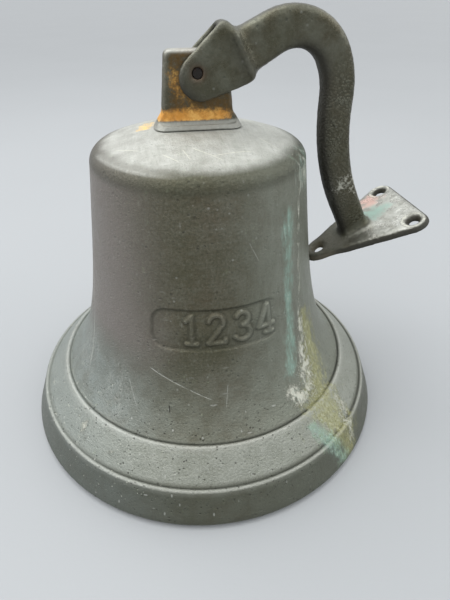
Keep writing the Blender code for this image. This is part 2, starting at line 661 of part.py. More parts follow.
def lanyard_eye(hinge):
    """Nut under the ball with a ring for the bell rope."""
    ring_z = TAIL_RING_CENTRE - CLAPPER_PIVOT
    half = TAIL_THICKNESS / 2
    ring = prism(circle(0, ring_z, TAIL_RING_DIAMETER / 2), "Y", -half, half, SMALL_EDGE, SMALL_EDGE)
    eye = put("lanyard_eye", ring, BRONZE, hinge)
    top = TAIL_TOP - CLAPPER_PIVOT
    collar = prism(circle(0, 0, BALL_FLAT_DIAMETER / 2), "Z", top - TAIL_COLLAR_HEIGHT, top)
    shape(eye, "UNION", put("eye_collar", collar, parent=hinge))
    socket = prism(circle(0, 0, SPIGOT_BORE_RADIUS), "Z", top - SPIGOT_SOCKET, top + CUT_MARGIN)
    shape(eye, "DIFFERENCE", put("eye_socket", socket, parent=hinge))
    shape(eye, "DIFFERENCE", cross_bore("eye_hole", TAIL_HOLE_DIAMETER / 2, ring_z, TAIL_THICKNESS, hinge))


def main():
    for old in list(bpy.data.objects):
        bpy.data.objects.remove(old)
    bell_shell()
    hanger_lug()
    crown_fastening()
    crown_staple()
    staple_pin()
    wall_bracket()
    clapper()
    for piece in bpy.data.objects:
        if piece.type == "MESH" and piece.data.materials:
            piece.modifiers.new("flat_face_shading", "WEIGHTED_NORMAL").keep_sharp = True


main()
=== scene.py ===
"""Looks of the ship's bell: worn cast bronze with verdigris and stains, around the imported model.

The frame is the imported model's: the bell's axis is Z, its mouth stands on z = 0 and the bracket is on the
+X side. Marks painted on the castings say where each stain lies, and the finishes read them.
"""
import json
import math
from functools import reduce
from types import SimpleNamespace

import bmesh
import bpy
import numpy as np
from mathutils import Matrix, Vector, noise


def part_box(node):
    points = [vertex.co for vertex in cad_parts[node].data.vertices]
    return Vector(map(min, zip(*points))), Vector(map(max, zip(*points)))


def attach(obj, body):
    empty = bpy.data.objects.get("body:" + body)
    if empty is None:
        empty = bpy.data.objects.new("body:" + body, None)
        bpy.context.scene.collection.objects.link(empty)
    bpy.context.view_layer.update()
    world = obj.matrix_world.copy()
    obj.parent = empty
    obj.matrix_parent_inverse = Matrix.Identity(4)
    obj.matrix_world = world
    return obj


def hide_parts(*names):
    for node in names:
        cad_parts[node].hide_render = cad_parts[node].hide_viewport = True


MM = 0.001

# Camera, fitted to the photograph as a 450 by 600 frame
CAMERA_PLACE = Vector((-28.96, -250.15, 254.34)) * MM
CAMERA_AIM = Vector((0.14150, 0.79651, -0.58785))
CAMERA_LENS = 25.8
CAMERA_SENSOR = 36.0
CAMERA_NEAR = 0.01

# Bell profile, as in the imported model
MOUTH_RADIUS = 127.0 * MM
LIP_ROUND = 4.0 * MM
LIP_FLAT = 10.0 * MM
LOWER_GROOVE = (116.8 * MM, 24.0 * MM)
UPPER_GROOVE_HEIGHT = 39.6 * MM
ROLL_RADIUS = 2.2 * MM
FLARE = 19.6 * MM
FLARE_LENGTH = 23.3 * MM
WAIST_TAPER = 0.13
SHOULDER_RADIUS = 61.6 * MM
SHOULDER_HEIGHT = 175.7 * MM
SHOULDER_FILLET = 8.5 * MM
CROWN_SLOPE = math.radians(20.0)
CROWN_SEAT_RADIUS = 25.0 * MM
CROWN_WALL = 8.0 * MM
CROWN_INNER_SEAT = 18.0 * MM
WAIST_WALL = 5.5 * MM
LIP_WALL = 9.0 * MM
BOLT_HOLE = 4.3 * MM

# Steps of the bell's mesh: along its profile, and round it as first angle, last angle and step in degrees
LIP_STEPS = 7
ROLL_STEPS = 9
BAND_STEPS = 7
FILLET_STEPS = 10
DOME_STEPS = 12
SEAT_STEPS = 3
INNER_DOME_STEPS = 6
INNER_WAIST_STEPS = 25
WAIST_STEP_LOW = 1.7 * MM
WAIST_STEP_FINE = 0.5 * MM
WAIST_STEP_HIGH = 2.6 * MM
FINE_MARGIN = 3.0 * MM
BELL_COLUMNS = ((-180, -124, 2.0), (-124, -58, 0.45), (-58, -24, 0.9), (-24, 180, 2.0))

# Slow waves of the cast surface: height, and for each wave its turns, its rise per metre and its shift
CAST_SWELL = 0.06 * MM
SWELL_WAVES = ((3, 40.0, 0.0), (5, -65.0, 1.0))

# Cartouche on the waist, in degrees round the axis and heights
CARTOUCHE_ANGLES = (-121.0, -60.0)
CARTOUCHE_HEIGHTS = (90.7 * MM, 115.2 * MM)
CARTOUCHE_CORNER = 9.0 * MM
CARTOUCHE_DEPTH = 1.0 * MM
CARTOUCHE_EDGE = 0.8 * MM
CARTOUCHE_FADE = 9.0
CARTOUCHE_RISE = 0.7
CARTOUCHE_SLOPE = (-1.0 * MM, -11.0 * MM)
FIGURE_ANGLES = (-102.4, -91.6, -79.6, -68.2)
FIGURE_BASE = 94.0 * MM
FIGURE_HEIGHT = 18.5 * MM
FIGURE_STROKE = 1.25 * MM
FIGURE_RELIEF = 1.45 * MM
FIGURE_STEPS = 24

# Runs of stain on the bell: strength, length of the ends, and points of height, angle and half width
TEAL_RUNS = (
    (1.0, 6.0, ((58, -59, 3.5), (80, -54, 3.5), (107, -53, 3.0), (138, -52, 3.5), (160, -51, 4.5))),
    (1.0, 3.0, ((3, -52, 3), (10, -53, 3), (27, -57, 3), (36, -60, 2.5))))
OCHRE_RUNS = (
    (1.0, 6.0, ((3, -50, 4), (15, -49, 6), (30, -50, 8), (42, -50, 9), (57, -43, 8), (77, -40, 7),
                (96, -43, 4))),)
CRUST_RUNS = (
    (1.0, 4.0, ((42, -57, 3.5), (48, -59, 4), (55, -61, 3))),
    (0.6, 6.0, ((60, -48, 1.5), (100, -44, 1.2), (127, -43, 1.2), (161, -40, 1.5), (182, -29, 4))),
    (0.85, 6.0, ((42, -54, 5), (55, -50, 5), (72, -47, 3.5), (98, -44.5, 2))),
    (0.75, 4.0, ((6, -47, 1.5), (20, -46, 2), (38, -43, 3))))
RUN_EDGE = 2.1

# Patches on the shoulder and the flare: angle and height of the middle, squeeze of each, and reach
SHOULDER_STAIN = ((-27, 174), (0.45, 0.6), 11)
HAZES = (((-136, 54), (1.6, 0.7), 20), ((-163, 64), (1.2, 0.7), 20))

# Small spots of crust on the left: angle, height and reach in millimetres
SPOT_SQUEEZE = (2.0, 1.0)
CRUST_SPOTS = ((-142, 33, 6), (-139, 29, 4), (-147, 36, 3.5), (-151, 30, 3), (-135, 36, 2.5), (-128, 30, 2.5),
               (-137, 47, 4), (-133, 55, 3), (-154, 16, 3), (-145, 14, 2.5), (-163, 34, 3), (-170, 28, 3))

# Scratches on the crown, seen from above, in millimetres
CROWN_SCRATCHES = (((-22, -36), (-14, -45)), ((-12, -34), (-9, -44)), ((2, -42), (26, -36)),
                   ((-46, -18), (-31, -29)), ((-8, -33), (8, -47)), ((30, -20), (40, -32)))
CROWN_SCRATCH_WIDTH = 0.4 * MM

# Scratches on the bell's side: both ends as angle and height, width and strength
BELL_SCRATCHES = (
    ((-121, 77 * MM), (-103.5, 67 * MM), 0.5 * MM, 1.0),
    ((-103.5, 67 * MM), (-94.4, 61 * MM), 0.4 * MM, 1.0),
    ((-88, 69 * MM), (-89.5, 55 * MM), 0.4 * MM, 0.6),
    ((-131, 66 * MM), (-124, 50 * MM), 0.5 * MM, 0.5),
    ((-170, 120 * MM), (-164, 88 * MM), 0.6 * MM, 0.8),
    ((-164, 88 * MM), (-156, 52 * MM), 0.7 * MM, 1.0),
    ((-75, 150 * MM), (-70, 138 * MM), 0.4 * MM, 0.5))
BELL_NICK = ((-111.6, 57 * MM), (-111.2, 53 * MM), 0.7 * MM)

# Marks along the bell's profile, in millimetres and degrees; a pair is where a mark starts and is full
GROOVE_REACH = 2.6
# Pale rolled edges, as wear and as painted highlight
WEAR_HIGHLIGHT_SHIFT = (2.4, 0.6)
WEAR_HIGHLIGHT_REACH = 2.2
# A painted highlight line along the shoulder
GLINT_HEIGHT = 183.2
GLINT_REACH = 1.3
GLINT_ANGLES = ((-172, -158), (-100, -130))
LUG_GOLD_ANGLE = 165
LUG_GOLD_HALF = 9
LUG_GOLD_RADIUS = 29
LUG_GOLD_REACH = 12
BAND_EDGES = ((22.5, 25.5), (41, 38))
LIP_EDGE = (25, 22)

# Depths of the finishes' bumps
BELL_BUMP = 0.55 * MM
BRACKET_BUMP = 0.3 * MM
LUG_BUMP = 0.2 * MM
IRON_BUMP = 0.2 * MM
STEEL_BUMP = 0.1 * MM
CRUST_BUMP = 0.1 * MM
FLOOR_BUMP = 0.02 * MM

# Grains of crust: how many to a square metre, their radius, and the least and most of their sizes
CRUST_DENSITY = 1.6e6
CRUST_GRAIN = 0.26 * MM
CRUST_LEAST = (0.3, 0.3, 0.15)
CRUST_MOST = (1.1, 1.0, 0.4)
CRUST_SEED = 7
CRUST_BREAK = 3.2 * MM

# Casting skins: voxel, smoothing passes and height of the grain
BRACKET_SKIN = (0.7 * MM, 28, 0.12 * MM)
LUG_SKIN = (0.5 * MM, 20, 0.07 * MM)
MERGE_DISTANCE = 0.001 * MM
SMOOTHING_PUSHES = (0.5, -0.2)
EXTRA_PASSES = 30
EXTRA_PUSH = 0.5
SKIN_GRAIN = 1.7 * MM
CURVATURE_PASSES = 6
CURVATURE_GAIN = 12
SHADE_PASSES = 60
SHADE_GAIN = 2.0

# Bracket and lug; the holes are in the bracket's own frame, in millimetres
FORK_END = 25.8 * MM
FORK_SOFTENED = 9.0 * MM
PAIR_HOLES = ((23.75, 77.7), (-23.75, 77.7))
HOLE_RING = 6.3
HOLE_RING_REACH = 2.6
LUG_SOFTENED = 5.0 * MM
LUG_FOOT = 7.4 * MM
LUG_HALF = 4.75 * MM
LEDGE_WIDTH = 3.0 * MM
LEDGE_DROP = 4.0 * MM
FOOT_FLARE = 3.4 * MM

# Marks on the bracket and the lug, in millimetres; a patch is its middle, its squeeze and its reach
PLATE_FRONT = (133, 135.5)
PLATE_RIM = (133.5, 135.5)
SCAB = ((101, -4), (0.6, 1.0), 10)
COPPER_PATCH = ((19, 68), (1.0, 0.8), 17)
TEAL_PATCH = ((3, 62), (0.9, 0.5), 15)
PIN_HALO = 6.5
FORK_RING_HEIGHT = 27
FORK_RING_RADIUS = 12
FORK_RING_REACH = 9

# Room
FLOOR_HALF = 20.0
ROOM_WALL = (0.46, 0.47, 0.48, 1.0)
ROOM_SIDES = (2.4, 2.41, 2.43, 1.0)
ROOM_CEILING = (1.08, 1.1, 1.12, 1.0)
LIGHT_PLACE = Vector((-0.35, 0.25, 1.2))
LIGHT_AIM = Vector((0.0, 0.0, 0.1))
LIGHT_SIZE = (1.2, 1.0)
LIGHT_POWER = 8.0


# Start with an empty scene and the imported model
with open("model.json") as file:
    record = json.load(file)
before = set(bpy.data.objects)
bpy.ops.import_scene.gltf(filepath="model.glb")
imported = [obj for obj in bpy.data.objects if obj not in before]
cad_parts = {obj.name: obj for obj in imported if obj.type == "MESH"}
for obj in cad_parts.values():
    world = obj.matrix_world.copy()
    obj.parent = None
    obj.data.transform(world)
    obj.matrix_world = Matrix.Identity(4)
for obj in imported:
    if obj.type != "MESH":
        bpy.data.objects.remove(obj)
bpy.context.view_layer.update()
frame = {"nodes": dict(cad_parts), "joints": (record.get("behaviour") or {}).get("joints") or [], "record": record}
RECORD = frame["record"]
JOINTS = {joint["name"]: joint for joint in frame["joints"]}
PIVOT_HEIGHT = JOINTS["bracket_swing"]["pos_m"][2]
WALL_PLATE = {mount["name"]: mount for mount in RECORD["mounts"]}["wall_plate"]
BRACKET_LEAN = math.atan2(-WALL_PLATE["axis"][2], WALL_PLATE["axis"][0])


# Node trees
class Value:
    """An output socket that can be used in Python expressions."""

    def __init__(self, graph, socket):
        self.graph = graph
        self.socket = socket

    def math(self, operation, *others):
        terms = dict(enumerate((self, *others)))
        return self.graph.node("ShaderNodeMath", {"operation": operation}, terms)

    def __add__(self, other):
        return self.math("ADD", other)

    def __sub__(self, other):
        return self.math("SUBTRACT", other)

    def __rsub__(self, other):
        return (self * -1.0) + other

    def __mul__(self, other):
        return self.math("MULTIPLY", other)

    __radd__ = __add__
    __rmul__ = __mul__

    def most(self, other):
        return self.math("MAXIMUM", other)

    def rise(self, low, high):
        """Smooth step from 0 at low to 1 at high; it falls where low is the larger."""
        sockets = {"Value": self, "From Min": low, "From Max": high}
        return self.graph.node("ShaderNodeMapRange", {"interpolation_type": "SMOOTHSTEP"}, sockets)


class Graph:
    """A node tree, to which nodes are added by type, settings and their sockets' values or links."""

    def __init__(self, tree):
        self.tree = tree

    def node(self, kind, settings=None, sockets=None, output=0):
        made = self.tree.nodes.new(kind)
        for name, setting in (settings or {}).items():
            setattr(made, name, setting)
        for name, value in (sockets or {}).items():
            if isinstance(value, Value):
                self.tree.links.new(value.socket, made.inputs[name])
            else:
                made.inputs[name].default_value = value
        return Value(self, made.outputs[output])

    def place(self, stretch=(1.0, 1.0, 1.0), shift=(0.0, 0.0, 0.0)):
        """Object coordinates, stretched and shifted."""
        where = self.node("ShaderNodeTexCoord", output="Object")
        return self.node("ShaderNodeMapping", {}, {"Vector": where, "Scale": stretch, "Location": shift})

    def axes(self):
        where = self.node("ShaderNodeTexCoord", output="Object")
        split = self.node("ShaderNodeSeparateXYZ", {}, {0: where}).socket.node
        return [Value(self, split.outputs[axis]) for axis in "XYZ"]

    def grain(self, size, detail=3.0, rough=0.55, stretch=(1.0, 1.0, 1.0), shift=(0.0, 0.0, 0.0)):
        """Noise that fills 0 to 1, whose features have about the given size."""
        where = self.place(stretch, shift)
        sockets = {"Vector": where, "Scale": 1.0 / size, "Detail": detail, "Roughness": rough}
        return self.node("ShaderNodeTexNoise", {}, sockets).rise(0.27, 0.73)

    def cells(self, size, stretch=(1.0, 1.0, 1.0), shift=(0.0, 0.0, 0.0)):
        """Distance from 0 at the middle of each cell, for cells of about the given size."""
        where = self.place(stretch, shift)
        return self.node("ShaderNodeTexVoronoi", {"feature": "F1"}, {"Vector": where, "Scale": 1.0 / size})

    def scratch(self, start, end, width):
        """A fine line on the bell between two places, each an angle in degrees and a height."""
        x, y, z = self.axes()
        round_by = math.radians(1) * float(waist_radius((start[1] + end[1]) / 2))
        turn = y.math("ARCTAN2", x) * (round_by / math.radians(1))
        return self.line(turn, z, (start[0] * round_by, start[1]), (end[0] * round_by, end[1]), width)

    def line(self, u, v, start, end, width):
        """A fine line between two places, where u and v are lengths over the surface."""
        along = (end[0] - start[0], end[1] - start[1])
        length = math.hypot(*along)
        u = u - start[0]
        v = v - start[1]
        share = (u * along[0] + v * along[1]) * (1 / length**2)
        aside = (u * along[1] - v * along[0]) * (1 / length)
        inside = share.rise(-0.05, 0.1) * share.rise(1.05, 0.7)
        return aside.math("ABSOLUTE").rise(width, width * 0.2) * inside

    def mark(self, name):
        """A value painted on the mesh."""
        return self.node("ShaderNodeAttribute", {"attribute_name": name}, output="Fac")

    def mix(self, share, under, over):
        """Colour laid over another."""
        sockets = {0: share, 6: under, 7: over}
        return self.node("ShaderNodeMix", {"data_type": "RGBA"}, sockets, output=2)


def colour(red, green, blue):
    """Linear colour from the 0 to 255 values that a picture shows."""
    def linear(value):
        value /= 255
        return value / 12.92 if value <= 0.04045 else ((value + 0.055) / 1.055)**2.4
    return (linear(red), linear(green), linear(blue), 1.0)


def new_finish(name):
    made = bpy.data.materials.new(name)
    made.use_nodes = True
    return made, Graph(made.node_tree)


def coat(made, graph, base, roughness, metallic, height, depth):
    """Feed a material's shader; height drives a bump of the given depth in metres."""
    shader = made.node_tree.nodes["Principled BSDF"]
    bump = graph.node("ShaderNodeBump", {}, {"Strength": 1.0, "Distance": depth, "Height": height})
    sockets = {"Base Color": base, "Roughness": roughness, "Metallic": metallic, "Normal": bump}
    for name, value in sockets.items():
        if isinstance(value, Value):
            made.node_tree.links.new(value.socket, shader.inputs[name])
        else:
            shader.inputs[name].default_value = value
    return made


# Finishes
OLIVE = colour(88, 85, 66)
BROWN = colour(96, 87, 70)
GREY_GREEN = colour(138, 142, 130)
PLUM_GREY = colour(142, 135, 131)
COOL_GREY = colour(152, 160, 157)
# Pale oxide, also used as painted light on the crown and bands and for painted highlights
PALE_OXIDE_AND_LIGHT = colour(200, 201, 194)
DARK_OLIVE = colour(64, 66, 51)
# Dark in grooves and creases, also the painted shade round the cartouche and figures
CREVICE_DARK = colour(48, 50, 42)
# Pits, also the painted shade under the bracket
PIT_AND_SHADE_BLACK = colour(40, 38, 32)
TEAL = colour(134, 170, 157)
OCHRE = colour(158, 157, 102)
CREAM_CRUST = colour(214, 214, 200)
GOLD_STAIN = colour(252, 210, 124)
ORANGE_STAIN = colour(204, 138, 46)
RUST = colour(98, 74, 36)
RUST_DARK = colour(84, 48, 26)
COPPER_PINK = colour(206, 170, 158)
CREAM_LAND = colour(196, 186, 160)
IRON_BROWN = colour(36, 31, 28)
STEEL_GREY = colour(140, 138, 134)
FLOOR_PALE = colour(168, 171, 173)
FLOOR_GREY = colour(162, 165, 167)


def patina(graph, tint):
    """Mottled bronze skin shared by all the castings: its colour, height, patches and fine grain."""
    broad = graph.grain(38 * MM, 4.0)
    patch = graph.grain(9 * MM, 5.0, 0.6)
    fine = graph.grain(1.3 * MM, 4.0, 0.7)
    pits = graph.cells(4.0 * MM, shift=(3.0, 1.0, 2.0)).rise(0.24, 0.1) * patch.rise(0.3, 0.8)
    specks = graph.cells(8.0 * MM, shift=(7.0, 5.0, 1.0)).rise(0.11, 0.05)
    base = graph.mix(broad, tint, BROWN)
    base = graph.mix(patch * broad * 0.4, base, GREY_GREEN)
    base = graph.mix(fine.rise(0.35, 0.95) * 0.45, base, DARK_OLIVE)
    base = graph.mix(fine.rise(0.3, 0.0) * 0.3, base, GREY_GREEN)
    base = graph.mix(pits * 0.6, base, PIT_AND_SHADE_BLACK)
    base = graph.mix(specks * 0.3, base, PALE_OXIDE_AND_LIGHT)
    height = fine * 0.35 - pits * 0.5 + patch * 0.3
    return base, height, patch, fine


def bell_grains(graph, patch, fine):
    """Noises that the bell's layers share."""
    return SimpleNamespace(
        patch=patch,
        fine=fine,
        runs=graph.grain(4 * MM, 4.0, 0.65, stretch=(1.0, 1.0, 0.1)),
        threads=graph.grain(1.4 * MM, 4.0, 0.7, stretch=(1.0, 1.0, 0.09), shift=(4.0, 0.0, 1.0)),
        blots=graph.grain(5 * MM, 4.0, 0.65, shift=(2.0, 4.0, 6.0)),
        rubs=graph.grain(0.9 * MM, 3.0, 0.6, stretch=(0.04, 1.0, 0.5)),
        scrapes=graph.grain(1.0 * MM, 3.0, 0.6, stretch=(1.0, 0.05, 0.3), shift=(5.0, 2.0, 0.0)))


def bell_tones_and_painted_light(graph, base, grains):
    """Plum and grey casts over the left side, the right side and the flare; the paler right side, flare and lower
    left are also painted light where the light falls, leaving the front darker.
    """
    x, _, z = graph.axes()
    left = x.rise(-15 * MM, -62 * MM) * z.rise(60 * MM, 95 * MM)
    base = graph.mix(left * 0.8, base, PLUM_GREY)
    # Painted light: the right side, the upward flare and the lower left are made paler where the light falls.
    right = x.rise(-4 * MM, 38 * MM)
    base = graph.mix(right * (grains.runs * 0.3 + grains.patch * 0.2 + 0.5), base, GREY_GREEN)
    flare = z.rise(92 * MM, 48 * MM)
    base = graph.mix(flare * (grains.patch * 0.3 + 0.3), base, GREY_GREEN)
    lower_left = x.rise(-20 * MM, -80 * MM) * z.rise(95 * MM, 60 * MM)
    base = graph.mix(lower_left * (grains.patch * 0.3 + 0.5), base, COOL_GREY)
    return graph.mix(grains.rubs * grains.scrapes * 0.22, base, GREY_GREEN)


def bell_crown(graph, base, grains):
    """Shoulder darkened as painted shade, and a scratched crown made pale partly as oxide and partly as painted
    light from overhead; also where the crown is.
    """
    x, y, z = graph.axes()
    # Painted shade: the shoulder's fillet is darkened.
    shoulder = z.rise(173 * MM, 179 * MM) * z.rise(187 * MM, 183.5 * MM)
    base = graph.mix(shoulder * 0.55, base, DARK_OLIVE)
    # The crown is made pale partly as oxide and partly as painted light from overhead.
    crown = (z + grains.patch * (0.4 * MM)).rise(183.2 * MM, 186.5 * MM)
    base = graph.mix(crown * (grains.patch * 0.25 + grains.blots * 0.2 + 0.55), base, PALE_OXIDE_AND_LIGHT)
    base = graph.mix(crown * grains.rubs * grains.scrapes * 0.5, base, GREY_GREEN)
    for start, end in CROWN_SCRATCHES:
        cut = graph.line(x, y, Vector(start) * MM, Vector(end) * MM, CROWN_SCRATCH_WIDTH)
        base = graph.mix(crown * cut * 0.7, base, CREAM_CRUST)
    return base, crown


def bell_bands(graph, base, grains):
    """Bands paler as painted light, lip darker as painted shade, darkened grooves with painted shade round the
    cartouche and figures, edges pale from wear and painted highlight, haze, and gold beside the lug.
    """
    x, _, _ = graph.axes()
    band = graph.mark("band")
    # Painted light: the upward-facing bands are paler, more so on the left.
    base = graph.mix(band * (grains.fine * 0.2 + 0.65), base, GREY_GREEN)
    base = graph.mix(band * (grains.fine * 0.25 + grains.patch * 0.15), base, PALE_OXIDE_AND_LIGHT)
    base = graph.mix(band * x.rise(-40 * MM, -110 * MM) * 0.5, base, COOL_GREY)
    # Painted shade: the steep lip band is darkened.
    base = graph.mix(graph.mark("lip") * 0.55, base, DARK_OLIVE)
    haze = graph.mark("haze") * grains.blots * grains.threads.rise(0.2, 0.9)
    base = graph.mix(haze * 0.6, base, PALE_OXIDE_AND_LIGHT)
    # The groove mark darkens the grooves and, as painted shade, the cartouche's edge and the figures' outlines;
    # less on the left.
    dirt_and_shade = x.rise(-110 * MM, -50 * MM) * 0.5 + 0.35
    base = graph.mix(graph.mark("groove") * dirt_and_shade, base, CREVICE_DARK)
    # Rolled edges and the shoulder's glint line made pale, as wear and painted highlight.
    base = graph.mix(graph.mark("wear_and_highlight") * (grains.fine * 0.3 + 0.3), base, PALE_OXIDE_AND_LIGHT)
    gold = (graph.mark("gold") * 1.3 + grains.blots * 0.7 + grains.scrapes * 0.3 - 1.1).rise(0.0, 0.8)
    return graph.mix(gold * 0.8, base, GOLD_STAIN)


def bell_wear(graph, base, grains):
    """Pocks, dashes, flecks and scratches; also how deep they cut."""
    x, _, z = graph.axes()
    lower = z.rise(80 * MM, 40 * MM) * 0.8 + 0.2
    pocks = graph.cells(2.6 * MM, shift=(2.0, 8.0, 4.0)).rise(0.28, 0.12) * grains.blots.rise(0.35, 0.75)
    pocks = pocks * lower
    base = graph.mix(pocks * 0.6, base, PIT_AND_SHADE_BLACK)
    upright = graph.cells(7 * MM, stretch=(1.0, 1.0, 0.3), shift=(1.0, 6.0, 3.0)).rise(0.10, 0.04)
    level = graph.cells(8 * MM, stretch=(0.25, 1.0, 1.0), shift=(9.0, 2.0, 5.0)).rise(0.09, 0.04)
    base = graph.mix(upright.most(level) * lower * 0.55, base, PALE_OXIDE_AND_LIGHT)
    flecks = graph.cells(2.2 * MM, shift=(6.0, 3.0, 9.0)).rise(0.26, 0.1) * grains.blots.rise(0.62, 0.85)
    flecks = flecks * x.rise(-25 * MM, -65 * MM) * z.rise(75 * MM, 45 * MM)
    base = graph.mix(flecks * 0.85, base, CREAM_CRUST)
    cuts = [graph.scratch(*ends, width) * share for *ends, width, share in BELL_SCRATCHES]
    lines = reduce(Value.most, cuts)
    base = graph.mix(lines * grains.fine.rise(0.0, 0.5) * 0.7, base, PALE_OXIDE_AND_LIGHT)
    base = graph.mix(graph.scratch(*BELL_NICK) * 0.85, base, PIT_AND_SHADE_BLACK)
    return base, lines * 0.5 + pocks * 0.5


def bell_stains(graph, base, grains):
    """Ochre, verdigris and crust; also where any of them lies, and where the crust does."""
    runs, threads, blots, fine = grains.runs, grains.threads, grains.blots, grains.fine
    ochre = (graph.mark("ochre") * 1.3 + runs * 0.7 + blots * 0.7 - 1.05).rise(0.0, 1.1)
    teal = (graph.mark("verdigris") * 1.3 + runs * 0.7 + blots * 0.6 - 1.0).rise(0.0, 1.1)
    crust = (graph.mark("crust") * 1.5 + fine * 0.4 + threads * 0.6 + runs * 0.4 - 1.1).rise(0.0, 0.9)
    base = graph.mix(ochre * 0.65, base, OCHRE)
    base = graph.mix(ochre * threads.rise(0.5, 0.0) * 0.4, base, OLIVE)
    base = graph.mix(ochre * threads.rise(0.5, 1.0) * runs * 0.6, base, CREAM_CRUST)
    base = graph.mix(teal * (threads * 0.55 + 0.25), base, TEAL)
    base = graph.mix(teal * threads.rise(0.6, 1.0) * fine * 0.5, base, CREAM_CRUST)
    base = graph.mix(crust * (threads * 0.3 + 0.65), base, CREAM_CRUST)
    return base, ochre.most(teal).most(crust), crust


def bell_bronze():
    made, graph = new_finish("bell_bronze")
    base, height, patch, fine = patina(graph, OLIVE)
    grains = bell_grains(graph, patch, fine)
    base = bell_tones_and_painted_light(graph, base, grains)
    base, crown = bell_crown(graph, base, grains)
    base = bell_bands(graph, base, grains)
    base, cuts = bell_wear(graph, base, grains)
    base, deposit, crust = bell_stains(graph, base, grains)
    roughness = patch * 0.14 + fine * 0.10 + 0.32 + deposit * 0.3
    metallic = 0.68 - deposit * 0.55 - crown * 0.4
    height = height + crust * 1.2 + deposit * 0.3 - cuts
    return coat(made, graph, base, roughness, metallic, height, BELL_BUMP)


def lug_bronze():
    made, graph = new_finish("lug_bronze")
    base, height, patch, fine = patina(graph, DARK_OLIVE)
    smear = graph.grain(2.5 * MM, 5.0, 0.7)
    rust = (graph.mark("rust") * 1.3 + smear * 0.9 - 0.9).rise(0.0, 1.1)
    gold = (graph.mark("gold") * 1.3 + smear * 0.6 - 0.65).rise(0.0, 1.0)
    base = graph.mix(rust * 0.85, base, RUST)
    base = graph.mix(gold * 0.95, base, graph.mix(smear * patch, ORANGE_STAIN, GOLD_STAIN))
    base = graph.mix(graph.mark("pale") * (patch * 0.3 + 0.65), base, PALE_OXIDE_AND_LIGHT)
    base = graph.mix(graph.mark("edge").rise(0.15, 0.8) * 0.3, base, PALE_OXIDE_AND_LIGHT)
    roughness = patch * 0.2 + fine * 0.1 + 0.34 + gold * 0.2
    return coat(made, graph, base, roughness, 0.55 - gold * 0.45, height, LUG_BUMP)


def bracket_bronze():
    made, graph = new_finish("bracket_bronze")
    base, height, patch, fine = patina(graph, OLIVE)
    base = graph.mix(0.4, base, DARK_OLIVE)
    pebbles = graph.cells(1.3 * MM).rise(0.25, 0.75) * graph.mark("pebble") * (patch * 0.6 + 0.4)
    smear = graph.grain(5 * MM, 5.0, 0.65)
    base = graph.mix(pebbles * 0.3, base, PIT_AND_SHADE_BLACK)
    base = graph.mix((0.7 - pebbles) * patch * 0.3, base, GREY_GREEN)
    base = graph.mix(graph.mark("plate") * (smear * 0.5 + 0.4), base, PALE_OXIDE_AND_LIGHT)
    copper = (graph.mark("copper") * 1.3 + smear * 0.8 - 0.9).rise(0.0, 0.8)
    base = graph.mix(copper * 0.85, base, COPPER_PINK)
    teal = (graph.mark("verdigris") * 1.3 + smear * 0.8 - 0.9).rise(0.0, 0.8)
    base = graph.mix(teal * 0.7, base, TEAL)
    crust = (graph.mark("crust") * 1.2 + fine * 0.4 + smear * 0.8 - 1.2).rise(0.0, 0.4)
    base = graph.mix(crust * (fine * 0.4 + 0.35), base, CREAM_CRUST)
    base = graph.mix(graph.mark("land") * 0.9, base, CREAM_LAND)
    base = graph.mix(graph.mark("edge").rise(0.2, 1.0) * 0.22, base, PALE_OXIDE_AND_LIGHT)
    base = graph.mix(graph.mark("edge").rise(-0.15, -0.8) * 0.6, base, CREVICE_DARK)
    # Painted shade: the under mark darkens the faces turned down and in, the plate's rim and the plate face's
    # lower part.
    base = graph.mix(graph.mark("under") * 0.88, base, PIT_AND_SHADE_BLACK)
    base = graph.mix(graph.mark("halo") * (smear * 0.4 + 0.5), base, RUST_DARK)
    deposit = teal.most(crust)
    roughness = patch * 0.12 + fine * 0.08 + 0.2 + deposit * 0.3 + graph.mark("under") * 0.35
    metallic = 0.7 - deposit * 0.6 - graph.mark("under") * 0.4
    return coat(made, graph, base, roughness, metallic, height - pebbles * 1.2 + crust, BRACKET_BUMP)


def dark_iron():
    made, graph = new_finish("dark_iron")
    patch = graph.grain(6 * MM, 5.0, 0.65)
    fine = graph.grain(0.9 * MM, 4.0, 0.7)
    base = graph.mix(patch.rise(0.6, 1.0) * 0.6, IRON_BROWN, RUST_DARK)
    base = graph.mix(fine.rise(0.5, 0.75) * 0.5, base, PIT_AND_SHADE_BLACK)
    return coat(made, graph, base, patch * 0.3 + 0.45, 0.4, fine * 0.6 + patch * 0.4, IRON_BUMP)


def dull_steel():
    made, graph = new_finish("dull_steel")
    patch = graph.grain(5 * MM, 4.0, 0.6)
    lines = graph.grain(0.6 * MM, 2.0, 0.5, stretch=(1.0, 1.0, 0.1))
    base = graph.mix(patch.rise(0.5, 0.8) * 0.5, STEEL_GREY, RUST)
    return coat(made, graph, base, patch * 0.25 + 0.3, 0.85, lines * 0.5 + patch * 0.2, STEEL_BUMP)


def pale_crust():
    made, graph = new_finish("pale_crust")
    patch = graph.grain(4 * MM, 3.0)
    base = graph.mix(patch.rise(0.4, 0.65) * 0.6, CREAM_CRUST, TEAL)
    return coat(made, graph, base, 0.85, 0.0, graph.grain(0.4 * MM), CRUST_BUMP)


def floor_paint():
    made, graph = new_finish("floor_paint")
    cloud = graph.grain(0.4, 2.0)
    base = graph.mix(cloud * 0.3, FLOOR_PALE, FLOOR_GREY)
    return coat(made, graph, base, 0.55, 0.0, graph.grain(2 * MM), FLOOR_BUMP)


# Meshes
def piece(name, mesh, body, slot, *nodes):
    """Show a mesh as a piece on a body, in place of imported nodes."""
    made = bpy.data.objects.new(name, mesh)
    bpy.context.scene.collection.objects.link(made)
    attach(made, body)
    if nodes:
        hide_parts(*nodes)
    return made


